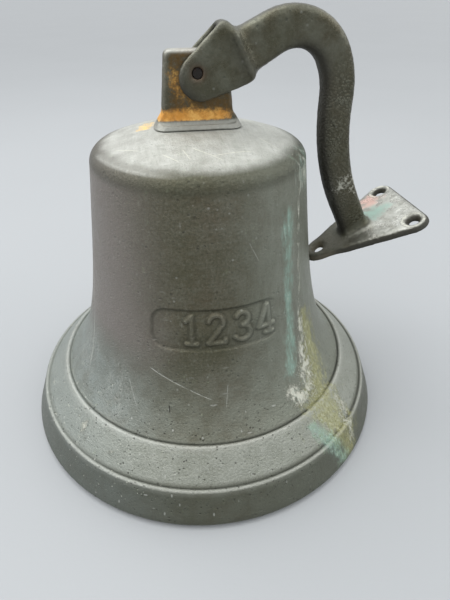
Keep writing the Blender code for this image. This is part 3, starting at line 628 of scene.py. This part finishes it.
def paint(mesh, name, values):
    """Store one value per vertex for a material to read."""
    stored = mesh.attributes.new(name, "FLOAT", "POINT")
    stored.data.foreach_set("value", np.asarray(values, np.float32).ravel())


def vertices(mesh):
    flat = np.empty(len(mesh.vertices) * 3)
    mesh.vertices.foreach_get("co", flat)
    return flat.reshape(-1, 3)


def normals(mesh):
    flat = np.empty(len(mesh.vertices) * 3)
    mesh.vertex_normals.foreach_get("vector", flat)
    return flat.reshape(-1, 3)


def move_vertices(mesh, places):
    mesh.vertices.foreach_set("co", places.ravel())
    mesh.update()


def soft(values, low, high):
    """Smooth step from 0 at low to 1 at high; it falls where low is the larger."""
    share = np.clip((values - low) / (high - low), 0.0, 1.0)
    return share * share * (3 - 2 * share)


def blot(distance, reach):
    """1 at no distance, fading to 0 at the reach."""
    return 1 - soft(distance, 0.0, reach)


def patch_mark(u, v, centre, squeeze, reach):
    """A blot about a centre, squeezed by so much along each direction."""
    return blot(np.hypot((u - centre[0]) * squeeze[0], (v - centre[1]) * squeeze[1]), reach)


def mesh_edges(mesh):
    """Vertex pairs of the edges, and how many edges meet at each vertex."""
    edges = np.empty(len(mesh.edges) * 2, int)
    mesh.edges.foreach_get("vertices", edges)
    counts = np.bincount(edges, minlength=len(mesh.vertices))
    return edges.reshape(-1, 2), counts.reshape(-1, 1)


def neighbour_mean(values, edges, counts):
    total = np.zeros_like(values)
    np.add.at(total, edges[:, 0], values[edges[:, 1]])
    np.add.at(total, edges[:, 1], values[edges[:, 0]])
    return total / counts


def casting_skin(node, voxel, passes, grain, soften=None):
    """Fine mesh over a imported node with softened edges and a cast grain, and its edges marked.

    A soften function gives, for the vertices' places, how much more each is smoothed, from 0 to 1.
    """
    rough = bmesh.new()
    rough.from_mesh(frame["nodes"][node].data)
    bmesh.ops.remove_doubles(rough, verts=rough.verts, dist=MERGE_DISTANCE)
    source = bpy.data.meshes.new(node + "_source")
    rough.to_mesh(source)
    rough.free()
    holder = bpy.data.objects.new(node + "_source", source)
    bpy.context.scene.collection.objects.link(holder)
    remesh = holder.modifiers.new("voxels", "REMESH")
    remesh.mode = "VOXEL"
    remesh.voxel_size = voxel
    view = bpy.context.evaluated_depsgraph_get()
    mesh = bpy.data.meshes.new_from_object(holder.evaluated_get(view))
    bpy.data.objects.remove(holder)
    mesh.name = node + "_skin"
    places = vertices(mesh)
    edges, counts = mesh_edges(mesh)
    for _ in range(passes):
        for push in SMOOTHING_PUSHES:
            places = places + push * (neighbour_mean(places, edges, counts) - places)
    if soften:
        share = soften(places)[:, None] * EXTRA_PUSH
        for _ in range(EXTRA_PASSES):
            places = places + share * (neighbour_mean(places, edges, counts) - places)
    move_vertices(mesh, places)
    out = normals(mesh)
    bend = -np.sum((neighbour_mean(places, edges, counts) - places) * out, axis=1, keepdims=True) / voxel
    for _ in range(CURVATURE_PASSES):
        bend = neighbour_mean(bend, edges, counts)
    lift = np.array([noise.noise(Vector(p) / SKIN_GRAIN) for p in places])
    move_vertices(mesh, places + out * (lift * grain)[:, None])
    paint(mesh, "edge", bend * CURVATURE_GAIN)
    mesh.shade_smooth()
    mesh.materials.clear()
    return mesh


# Bell casting
def arc(r, z, radius, start, end, steps):
    turns = np.linspace(start, end, steps + 1)
    return [(r + radius * math.cos(a), z + radius * math.sin(a)) for a in turns]


def waist_radius(z):
    flare = FLARE * np.exp((UPPER_GROOVE_HEIGHT - z) / FLARE_LENGTH)
    return SHOULDER_RADIUS + WAIST_TAPER * (SHOULDER_HEIGHT - z) + flare


def rolled_band(groove, end):
    """A band from its outer end up to the rolled edge that stops in a groove."""
    (r, z), (end_r, end_z) = groove, end
    slope = math.atan2(end_z - z, end_r - r)
    centre = (r + ROLL_RADIUS * math.cos(slope), z + ROLL_RADIUS * math.sin(slope))
    roll = arc(*centre, ROLL_RADIUS, slope + math.pi / 2, slope + math.pi, ROLL_STEPS)
    top_r, top_z = roll[0]
    shares = np.linspace(0, 1, BAND_STEPS + 1)[1:-1]
    return [(end_r + (top_r - end_r) * share, end_z + (top_z - end_z) * share) for share in shares] + roll


def crown_arcs():
    """Centre height of the crown's dome, its radius, and the centre of the shoulder's fillet."""
    fillet_centre = waist_radius(SHOULDER_HEIGHT) - SHOULDER_FILLET
    edge = (fillet_centre + SHOULDER_FILLET * math.sin(CROWN_SLOPE),
            SHOULDER_HEIGHT + SHOULDER_FILLET * math.cos(CROWN_SLOPE))
    radius = edge[0] / math.sin(CROWN_SLOPE)
    return edge[1] - radius * math.cos(CROWN_SLOPE), radius, fillet_centre


def waist_heights():
    """Heights up the waist, close together where the cartouche is."""
    low, high = CARTOUCHE_HEIGHTS
    low, high = low - FINE_MARGIN, high + FINE_MARGIN
    runs = [(UPPER_GROOVE_HEIGHT, low, WAIST_STEP_LOW), (low, high, WAIST_STEP_FINE),
            (high, SHOULDER_HEIGHT, WAIST_STEP_HIGH)]
    heights = []
    for start, end, step in runs:
        heights += list(np.linspace(start, end, round((end - start) / step), endpoint=False))
    return heights + [SHOULDER_HEIGHT]


def outer_profile():
    """Outside of the bell, from the mouth up to the bolt hole; the last points are the lug's seat."""
    lip = arc(MOUTH_RADIUS - LIP_ROUND, LIP_ROUND, LIP_ROUND, -math.pi / 2, 0, LIP_STEPS)
    waist = [(float(waist_radius(z)), z) for z in waist_heights()]
    centre, radius, fillet_centre = crown_arcs()
    edge = math.pi / 2 - CROWN_SLOPE
    fillet = arc(fillet_centre, SHOULDER_HEIGHT, SHOULDER_FILLET, 0, edge, FILLET_STEPS)
    dome = arc(0, centre, radius, edge, math.acos(CROWN_SEAT_RADIUS / radius), DOME_STEPS)
    seat = [(r, dome[-1][1]) for r in np.linspace(CROWN_SEAT_RADIUS, BOLT_HOLE, SEAT_STEPS + 1)]
    return (lip + rolled_band(LOWER_GROOVE, lip[-1]) + rolled_band(waist[0], LOWER_GROOVE) + waist[1:]
            + fillet[1:] + dome[1:] + seat[1:])


def inner_profile():
    """Inside of the bell, from the bolt hole down to the mouth."""
    centre, radius, _ = crown_arcs()
    inner = radius - CROWN_WALL
    corner = waist_radius(SHOULDER_HEIGHT) - SHOULDER_FILLET - CROWN_WALL
    seat_angle, corner_angle = math.acos(CROWN_INNER_SEAT / inner), math.acos(corner / inner)
    dome = arc(0, centre, inner, seat_angle, corner_angle, INNER_DOME_STEPS)
    heights = np.linspace(SHOULDER_HEIGHT, UPPER_GROOVE_HEIGHT, INNER_WAIST_STEPS + 1)
    waist = []
    for z in heights:
        slope = (waist_radius(z + MM) - waist_radius(z - MM)) / (2 * MM)
        share = (z - LOWER_GROOVE[1]) / (SHOULDER_HEIGHT - LOWER_GROOVE[1])
        wall = WAIST_WALL + (LIP_WALL - WAIST_WALL) * (1 - share)**3
        length = math.hypot(1, slope)
        waist.append((float(waist_radius(z)) - wall / length, float(z) + wall * slope / length))
    top_r = float(waist_radius(UPPER_GROOVE_HEIGHT))
    along = Vector((top_r - MOUTH_RADIUS, UPPER_GROOVE_HEIGHT - LIP_ROUND)).normalized()
    behind_groove = (LOWER_GROOVE[0] - LIP_WALL * along.y, LOWER_GROOVE[1] + LIP_WALL * along.x)
    mouth = (MOUTH_RADIUS - LIP_ROUND - LIP_FLAT, 0.0)
    band = []
    for (r, z), (end_r, end_z) in ((waist[-1], behind_groove), (behind_groove, mouth)):
        band += [(r + (end_r - r) * t, z + (end_z - z) * t) for t in (0.25, 0.5, 0.75, 1.0)]
    return [(BOLT_HOLE, dome[0][1])] + dome + waist[1:] + band


def bell_angles():
    """Columns round the bell in degrees, close together at the cartouche and the stains."""
    columns = []
    for start, end, step in BELL_COLUMNS:
        columns += list(np.linspace(start, end, round((end - start) / step), endpoint=False))
    return np.array(columns)


def figure_strokes():
    """Plain counting figures as strokes, in shares of the figure's height about its middle."""
    def run(*points):
        return np.array(points)

    def turn(u, v, radius, start, end):
        return np.array(arc(u, v, radius, math.radians(start), math.radians(end), FIGURE_STEPS))

    one = [run((-0.17, 0.80), (0.0, 0.95), (0.0, 0.04)), run((-0.16, 0.04), (0.16, 0.04))]
    two = [turn(0.0, 0.74, 0.22, 170, -30), run((0.19, 0.63), (-0.24, 0.05), (0.26, 0.05), (0.26, 0.14))]
    three = [turn(-0.01, 0.75, 0.20, 155, -90), turn(-0.02, 0.29, 0.25, 90, -150)]
    four = [run((0.06, 0.95), (-0.26, 0.30), (0.27, 0.30)), run((0.10, 0.95), (0.10, 0.04)),
            run((-0.02, 0.04), (0.22, 0.04))]
    return one, two, three, four


def stroke_distance(u, v, points):
    """Distance from places to a line of points."""
    nearest = np.full(u.shape, 1e9)
    for (au, av), (bu, bv) in zip(points, points[1:]):
        along = np.array((bu - au, bv - av))
        share = ((u - au) * along[0] + (v - av) * along[1]) / (along @ along)
        share = np.clip(share, 0, 1)
        nearest = np.minimum(nearest, np.hypot(u - au - share * along[0], v - av - share * along[1]))
    return nearest


def relief(angle, z):
    """How far the cast surface stands out from the turned shape; also its figures, and dirt with painted shade
    along the cartouche's edge and round the figures.
    """
    low, high = CARTOUCHE_HEIGHTS
    middle_radius = float(waist_radius((low + high) / 2))
    start, end = (math.radians(a) * middle_radius for a in CARTOUCHE_ANGLES)
    along = np.radians(angle) * middle_radius - (start + end) / 2
    over_u = np.abs(along) - ((end - start) / 2 - CARTOUCHE_CORNER)
    over_v = np.abs(z - (low + high) / 2) - ((high - low) / 2 - CARTOUCHE_CORNER)
    outside = np.hypot(np.maximum(over_u, 0), np.maximum(over_v, 0)) - CARTOUCHE_CORNER
    inside = outside + np.minimum(np.maximum(over_u, over_v), 0)
    fade = soft(angle, CARTOUCHE_ANGLES[1], CARTOUCHE_ANGLES[1] - CARTOUCHE_FADE)
    shallow = 1 - CARTOUCHE_RISE * soft(inside, *CARTOUCHE_SLOPE)
    hollow = soft(inside, CARTOUCHE_EDGE, -CARTOUCHE_EDGE) * shallow * fade
    distance = np.full(angle.shape, 1.0)
    for centre, strokes in zip(FIGURE_ANGLES, figure_strokes()):
        u = np.radians(angle - centre) * middle_radius / FIGURE_HEIGHT
        v = (z - FIGURE_BASE) / FIGURE_HEIGHT
        near = np.abs(u) < 0.5
        for stroke in strokes:
            to_stroke = FIGURE_HEIGHT * stroke_distance(u[near], v[near], stroke)
            distance[near] = np.minimum(distance[near], to_stroke)
    figures = soft(distance, FIGURE_STROKE * 1.5, FIGURE_STROKE * 0.5)
    # Dirt and painted shade along the cartouche's edge and round the figures' strokes
    dirt_and_shade = np.maximum(blot(np.abs(inside + 0.6 * MM), 1.6 * MM) * fade,
                      blot(np.abs(distance - FIGURE_STROKE * 1.7), 1.1 * MM))
    swell = sum(np.sin(np.radians(angle) * turns + z * rise + shift) for turns, rise, shift in SWELL_WAVES)
    lift = FIGURE_RELIEF * figures - CARTOUCHE_DEPTH * hollow + CAST_SWELL * swell
    return lift, figures, dirt_and_shade


def stain_run(angle, mm, strength, tail, points):
    """A run of stain down the bell, fading at its sides and ends."""
    heights, centres, halves = zip(*points)
    middle = np.interp(mm, heights, centres)
    half = np.interp(mm, heights, halves)
    ends = soft(mm, heights[0] - tail, heights[0] + tail) * soft(mm, heights[-1] + tail, heights[-1] - tail)
    return strength * blot(np.abs(angle - middle), half * RUN_EDGE) * ends


def bell_marks(angle, z, ragged):
    """Where the bell is stained, by angle round it and height; a ragged field breaks up the crust."""
    mm = z / MM
    teal, ochre, crust = (np.max([stain_run(angle, mm, *run) for run in runs], axis=0)
                          for runs in (TEAL_RUNS, OCHRE_RUNS, CRUST_RUNS))
    spots = [0.9 * patch_mark(angle, mm, middle, SPOT_SQUEEZE, reach) for *middle, reach in CRUST_SPOTS]
    shoulder = patch_mark(angle, mm, *SHOULDER_STAIN)
    crust = np.max([crust, *spots, 0.75 * shoulder], axis=0)
    teal = np.maximum(teal, 0.9 * shoulder)
    haze = sum(patch_mark(angle, mm, *patch) for patch in HAZES)
    return {"verdigris": teal, "ochre": ochre, "crust": crust * ragged, "haze": haze}


def profile_marks(profile, angle, figures, dirt_and_shade):
    """Where the bell's grooves, bands and lip are, where it is worn and where painted highlights lie, and where it
    is stained beside the lug.
    """
    radii, heights = profile[:, :1] / MM, profile[:, 1:] / MM
    grooves = [(LOWER_GROOVE[0] / MM, LOWER_GROOVE[1] / MM),
               (float(waist_radius(UPPER_GROOVE_HEIGHT)) / MM, UPPER_GROOVE_HEIGHT / MM)]
    groove = sum(blot(np.hypot(radii - r, heights - z), GROOVE_REACH) for r, z in grooves)
    # Rolled edges made pale, as wear and as painted highlight where they face up to the light
    out, up = WEAR_HIGHLIGHT_SHIFT
    wear_and_highlight = sum(blot(np.hypot(radii - r - out, heights - z - up), WEAR_HIGHLIGHT_REACH) for r, z in grooves)
    # Painted highlight: a glint line along the shoulder's top on the left
    first, last = GLINT_ANGLES
    glint = blot(np.abs(heights - GLINT_HEIGHT), GLINT_REACH) * soft(angle, *first) * soft(angle, *last)
    past_lug = np.maximum(np.abs(angle - LUG_GOLD_ANGLE) - LUG_GOLD_HALF, 0)
    beside_lug = np.hypot(past_lug * 0.5, radii - LUG_GOLD_RADIUS)
    bottom, top = BAND_EDGES
    # The groove mark also carries painted shade round the cartouche and figures
    return {"groove": np.maximum(groove, 0.4 * dirt_and_shade),
            "wear_and_highlight": np.max(np.broadcast_arrays(wear_and_highlight, glint, 0.08 * figures), axis=0),
            "band": soft(heights, *bottom) * soft(heights, *top),
            "lip": soft(heights, *LIP_EDGE),
            "gold": blot(beside_lug, LUG_GOLD_REACH) * (heights > SHOULDER_HEIGHT / MM)}


def turned_mesh(name, places):
    """Closed mesh over rows of places round an axis, each row joined to the next, the last to the first."""
    rows, columns = places.shape[:2]
    row, column = np.meshgrid(np.arange(rows), np.arange(columns), indexing="ij")
    next_row, next_column = (row + 1) % rows, (column + 1) % columns
    corners = (row * columns + column, row * columns + next_column,
               next_row * columns + next_column, next_row * columns + column)
    faces = np.stack([corner.ravel() for corner in corners], axis=1)
    mesh = bpy.data.meshes.new(name)
    mesh.from_pydata(places.reshape(-1, 3).tolist(), [], faces.tolist())
    mesh.shade_smooth()
    return mesh


def bell_casting():
    outside = outer_profile()
    profile = np.array(outside + inner_profile())
    tangent = np.roll(profile, -1, axis=0) - np.roll(profile, 1, axis=0)
    facing = np.stack((tangent[:, 1], -tangent[:, 0]), axis=1)
    facing /= np.linalg.norm(facing, axis=1, keepdims=True)
    columns = bell_angles()
    angle = np.tile(columns, (len(profile), 1))
    z = np.tile(profile[:, 1:], (1, len(columns)))
    lift, figures, dirt_and_shade = relief(angle, z)
    lift[len(outside) - SEAT_STEPS - 1:] = 0
    lift[:LIP_STEPS + 1] = 0
    r = profile[:, :1] + facing[:, :1] * lift
    z = z + facing[:, 1:] * lift
    turn = np.radians(angle)
    places = np.stack((r * np.cos(turn), r * np.sin(turn), z), axis=2)
    mesh = turned_mesh("bell_casting", places)
    broken = np.array([noise.noise(Vector(place) / CRUST_BREAK) for place in places.reshape(-1, 3)])
    ragged = np.clip(0.85 + 0.9 * broken.reshape(angle.shape), 0, 1)
    shown = np.zeros((len(profile), 1))
    shown[:len(outside)] = 1
    marks = {**bell_marks(angle, z, ragged), **profile_marks(profile, angle, figures, dirt_and_shade)}
    for name, values in marks.items():
        paint(mesh, name, np.broadcast_to(np.clip(values, 0, 1) * shown, angle.shape))
    return mesh


def crust_tree():
    """Grains of crust scattered where a mesh is marked with it."""
    group = bpy.data.node_groups.new("crust_grains", "GeometryNodeTree")
    sockets = {"Geometry": "NodeSocketGeometry", "Density": "NodeSocketFloat", "Grain": "NodeSocketFloat",
               "Seed": "NodeSocketInt", "Finish": "NodeSocketMaterial"}
    for name, kind in sockets.items():
        group.interface.new_socket(name, in_out="INPUT", socket_type=kind)
    group.interface.new_socket("Geometry", in_out="OUTPUT", socket_type="NodeSocketGeometry")
    graph = Graph(group)
    start = group.nodes.new("NodeGroupInput")
    given = {name: Value(graph, start.outputs[name]) for name in sockets}
    marked = graph.node("GeometryNodeInputNamedAttribute", {"data_type": "FLOAT"}, {"Name": "crust"})
    density = marked * marked * given["Density"]
    spread = {"Mesh": given["Geometry"], "Density": density, "Seed": given["Seed"]}
    points = graph.node("GeometryNodeDistributePointsOnFaces", {"distribute_method": "RANDOM"}, spread)
    turned = Value(graph, points.socket.node.outputs["Rotation"])
    ball = graph.node("GeometryNodeMeshIcoSphere", {}, {"Radius": given["Grain"], "Subdivisions": 1})
    limits = {"Min": CRUST_LEAST, "Max": CRUST_MOST, "Seed": given["Seed"]}
    size = graph.node("FunctionNodeRandomValue", {"data_type": "FLOAT_VECTOR"}, limits)
    grains = graph.node("GeometryNodeInstanceOnPoints", {},
                        {"Points": points, "Instance": ball, "Rotation": turned, "Scale": size})
    solid = graph.node("GeometryNodeRealizeInstances", {}, {"Geometry": grains})
    finished = graph.node("GeometryNodeSetMaterial", {}, {"Geometry": solid, "Material": given["Finish"]})
    end = group.nodes.new("NodeGroupOutput")
    group.links.new(finished.socket, end.inputs[0])
    return group


def crust_grains(name, mesh, tree, **values):
    holder = bpy.data.objects.new(name + "_source", mesh.copy())
    bpy.context.scene.collection.objects.link(holder)
    scatter = holder.modifiers.new("crust", "NODES")
    scatter.node_group = tree
    for item in tree.interface.items_tree:
        if item.in_out == "INPUT" and item.name in values:
            scatter[item.identifier] = values[item.name]
    view = bpy.context.evaluated_depsgraph_get()
    grains = bpy.data.meshes.new_from_object(holder.evaluated_get(view))
    grains.name = name
    bpy.data.objects.remove(holder)
    return grains


# Bracket, marked in its own upright frame
def bracket_frame(places):
    """Places in millimetres in the bracket's own frame: away from the pivot, sideways and up."""
    lean = np.array(((math.cos(BRACKET_LEAN), 0, -math.sin(BRACKET_LEAN)), (0, 1, 0),
                     (math.sin(BRACKET_LEAN), 0, math.cos(BRACKET_LEAN))))
    return ((places - (0, 0, PIVOT_HEIGHT)) @ lean.T / MM).T


def fork_shoulder(places):
    """1 where the fork's end steps down to the arm."""
    return blot(np.abs(bracket_frame(places)[2] - FORK_END / MM), FORK_SOFTENED / MM)


def underside_shade(mesh):
    """Painted shade: 1 where a mesh faces down and in, spread a little over its edges."""
    out = normals(mesh)
    facing_down = soft(-0.7 * (out[:, 0] + out[:, 2]), 0.1, 0.9)
    edges, counts = mesh_edges(mesh)
    spread = facing_down[:, None]
    for _ in range(SHADE_PASSES):
        spread = neighbour_mean(spread, edges, counts)
    return np.clip(np.maximum(facing_down, SHADE_GAIN * spread[:, 0]), 0, 1)


def bracket_casting():
    mesh = casting_skin("wall_bracket", *BRACKET_SKIN, fork_shoulder)
    x, y, z = bracket_frame(vertices(mesh))
    inward = -bracket_frame(normals(mesh) * MM + (0, 0, PIVOT_HEIGHT))[0]
    on_plate = soft(x, *PLATE_FRONT)
    face = on_plate * soft(inward, 0.7, 0.95)
    # The plate's rim, darkened as painted shade
    rim = soft(x, *PLATE_RIM) * soft(inward, 0.97, 0.7)
    to_holes = [np.hypot(y - hole_y, z - hole_z) for hole_y, hole_z in PAIR_HOLES]
    rings = np.max([blot(np.abs(distance - HOLE_RING), HOLE_RING_REACH) for distance in to_holes], axis=0)
    scab = 0.75 * patch_mark(x, y, *SCAB) * soft(y, 0, -4)
    # Painted shade on the underside, the inner side and the plate's rim, and the plate face darker towards its
    # bottom, all stored as the under mark
    darker_low_face = face * soft(z, 58, 28)
    paint(mesh, "under", np.max([underside_shade(mesh), 0.9 * rim, 0.5 * darker_low_face], axis=0))
    paint(mesh, "plate", face * soft(z, 28, 74))
    paint(mesh, "copper", face * patch_mark(y, z, *COPPER_PATCH))
    paint(mesh, "verdigris", face * patch_mark(y, z, *TEAL_PATCH) + 0.4 * scab)
    paint(mesh, "crust", np.clip(rings * on_plate * 0.9 + scab, 0, 1))
    paint(mesh, "land", soft(x, 137, 138) * soft(z, 34, 20))
    paint(mesh, "pebble", soft(x, 25, 45) * soft(x, 132, 128))
    paint(mesh, "halo", blot(np.hypot(x, z), PIN_HALO))
    return mesh


def lug_casting():
    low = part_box("hanger_lug")[0][2]

    def foot_edge(places):
        return blot(np.abs(places[:, 2] - low - LUG_FOOT), LUG_SOFTENED)

    mesh = casting_skin("hanger_lug", *LUG_SKIN, foot_edge)
    places = vertices(mesh)
    rise = places[:, 2] - low
    ledge = np.sqrt(np.clip((np.abs(places[:, 1]) - LUG_HALF) / LEDGE_WIDTH, 0, 1))
    on_foot = soft(rise, 2 * MM, LUG_FOOT - MM) * soft(rise, LUG_FOOT + 3 * MM, LUG_FOOT)
    places[:, 2] -= LEDGE_DROP * ledge * on_foot
    reach = np.abs(places[rise < LUG_FOOT]).max(axis=0)[:2]
    flare = FOOT_FLARE * np.clip(1 - rise / LUG_FOOT, 0, 1)**2
    places[:, :2] *= 1 + flare[:, None] / reach
    move_vertices(mesh, places)
    x, _, up = (places - (0, 0, low)).T / MM
    from_ring = np.abs(np.hypot(x, up - FORK_RING_HEIGHT) - FORK_RING_RADIUS)
    beside_fork = blot(from_ring, FORK_RING_REACH) * soft(x, 12, 0)
    foot_gold = soft(up, 3.4, 5.0) * soft(up, 13, 7) * soft(x, 26, 10)
    side_gold = beside_fork * soft(up, 34, 26) * soft(x, 4, -6)
    low_rust = soft(up, 7, 9) * soft(up, 24, 12)
    paint(mesh, "gold", np.clip(foot_gold + 0.55 * side_gold, 0, 1))
    paint(mesh, "rust", np.clip(beside_fork + low_rust, 0, 1) * soft(x, -19, -12))
    paint(mesh, "pale", 0.5 * soft(up, 4.6, 3.2) + 0.7 * soft(up, 35.5, 37.2))
    return mesh


# Stage
def overhead_light():
    lamp = bpy.data.lights.new("overhead", "AREA")
    lamp.shape = "RECTANGLE"
    lamp.size, lamp.size_y = LIGHT_SIZE
    lamp.energy = LIGHT_POWER
    made = bpy.data.objects.new("overhead", lamp)
    made.location = LIGHT_PLACE
    made.rotation_euler = (LIGHT_AIM - LIGHT_PLACE).to_track_quat("-Z", "Y").to_euler()
    bpy.context.scene.collection.objects.link(made)


def add_camera():
    lens = bpy.data.cameras.new("camera")
    lens.lens = CAMERA_LENS
    lens.sensor_width = CAMERA_SENSOR
    lens.clip_start = CAMERA_NEAR
    camera = bpy.data.objects.new("camera", lens)
    camera.location = CAMERA_PLACE
    camera.rotation_euler = CAMERA_AIM.to_track_quat("-Z", "Y").to_euler()
    bpy.context.scene.collection.objects.link(camera)
    bpy.context.scene.camera = camera


def add_floor():
    sheet = bpy.data.meshes.new("floor")
    corners = [(-1, -1), (1, -1), (1, 1), (-1, 1)]
    sheet.from_pydata([(x * FLOOR_HALF, y * FLOOR_HALF, 0) for x, y in corners], [], [(0, 1, 2, 3)])
    sheet.materials.append(floor_paint())
    floor = bpy.data.objects.new("floor", sheet)
    bpy.context.scene.collection.objects.link(floor)


def add_room():
    """Soft light from grey walls, a pale ceiling and two bright sides above eye level."""
    world = bpy.data.worlds.new("room")
    bpy.context.scene.world = world
    world.use_nodes = True
    graph = Graph(world.node_tree)
    way = graph.node("ShaderNodeTexCoord", output="Generated")
    across = graph.node("ShaderNodeSeparateXYZ", {}, {0: way}, output="X")
    up = graph.node("ShaderNodeSeparateXYZ", {}, {0: way}, output="Z")
    sky = graph.mix(up.rise(0.1, 0.7), ROOM_WALL, ROOM_CEILING)
    sky = graph.mix(across.math("ABSOLUTE").rise(0.4, 0.85) * up.rise(0.32, 0.45), sky, ROOM_SIDES)
    world.node_tree.links.new(sky.socket, world.node_tree.nodes["Background"].inputs["Color"])


def stage():
    bpy.context.scene.view_settings.view_transform = "Standard"
    add_camera()
    add_floor()
    add_room()
    overhead_light()


def main():
    bell = bell_casting()
    bell.materials.append(bell_bronze())
    piece("bell_casting", bell, "bell", "bell_shell", "bell_shell")
    crust = pale_crust()
    grains = crust_grains("crust_grains", bell, crust_tree(), Density=CRUST_DENSITY, Grain=CRUST_GRAIN,
                          Seed=CRUST_SEED, Finish=crust)
    piece("crust_grains", grains, "bell", "bell_shell")
    bracket = bracket_casting()
    bracket.materials.append(bracket_bronze())
    piece("bracket_casting", bracket, "bracket", "wall_bracket", "wall_bracket")
    lug = lug_casting()
    lug.materials.append(lug_bronze())
    piece("lug_casting", lug, "bell", "hanger_lug", "hanger_lug")
    iron, steel = dark_iron(), dull_steel()
    plain = lug.materials[0]
    finishes = {"pivot_pin": iron, "clapper_rod": iron, "clapper_ball": iron, "staple_pin": steel,
                "staple_split_pin": steel, "crown_washer": steel, "crown_nut": plain, "crown_staple": plain,
                "lanyard_eye": plain}
    for node, finish in finishes.items():
        frame["nodes"][node].data.materials.clear()
        frame["nodes"][node].data.materials.append(finish)
    stage()


main()
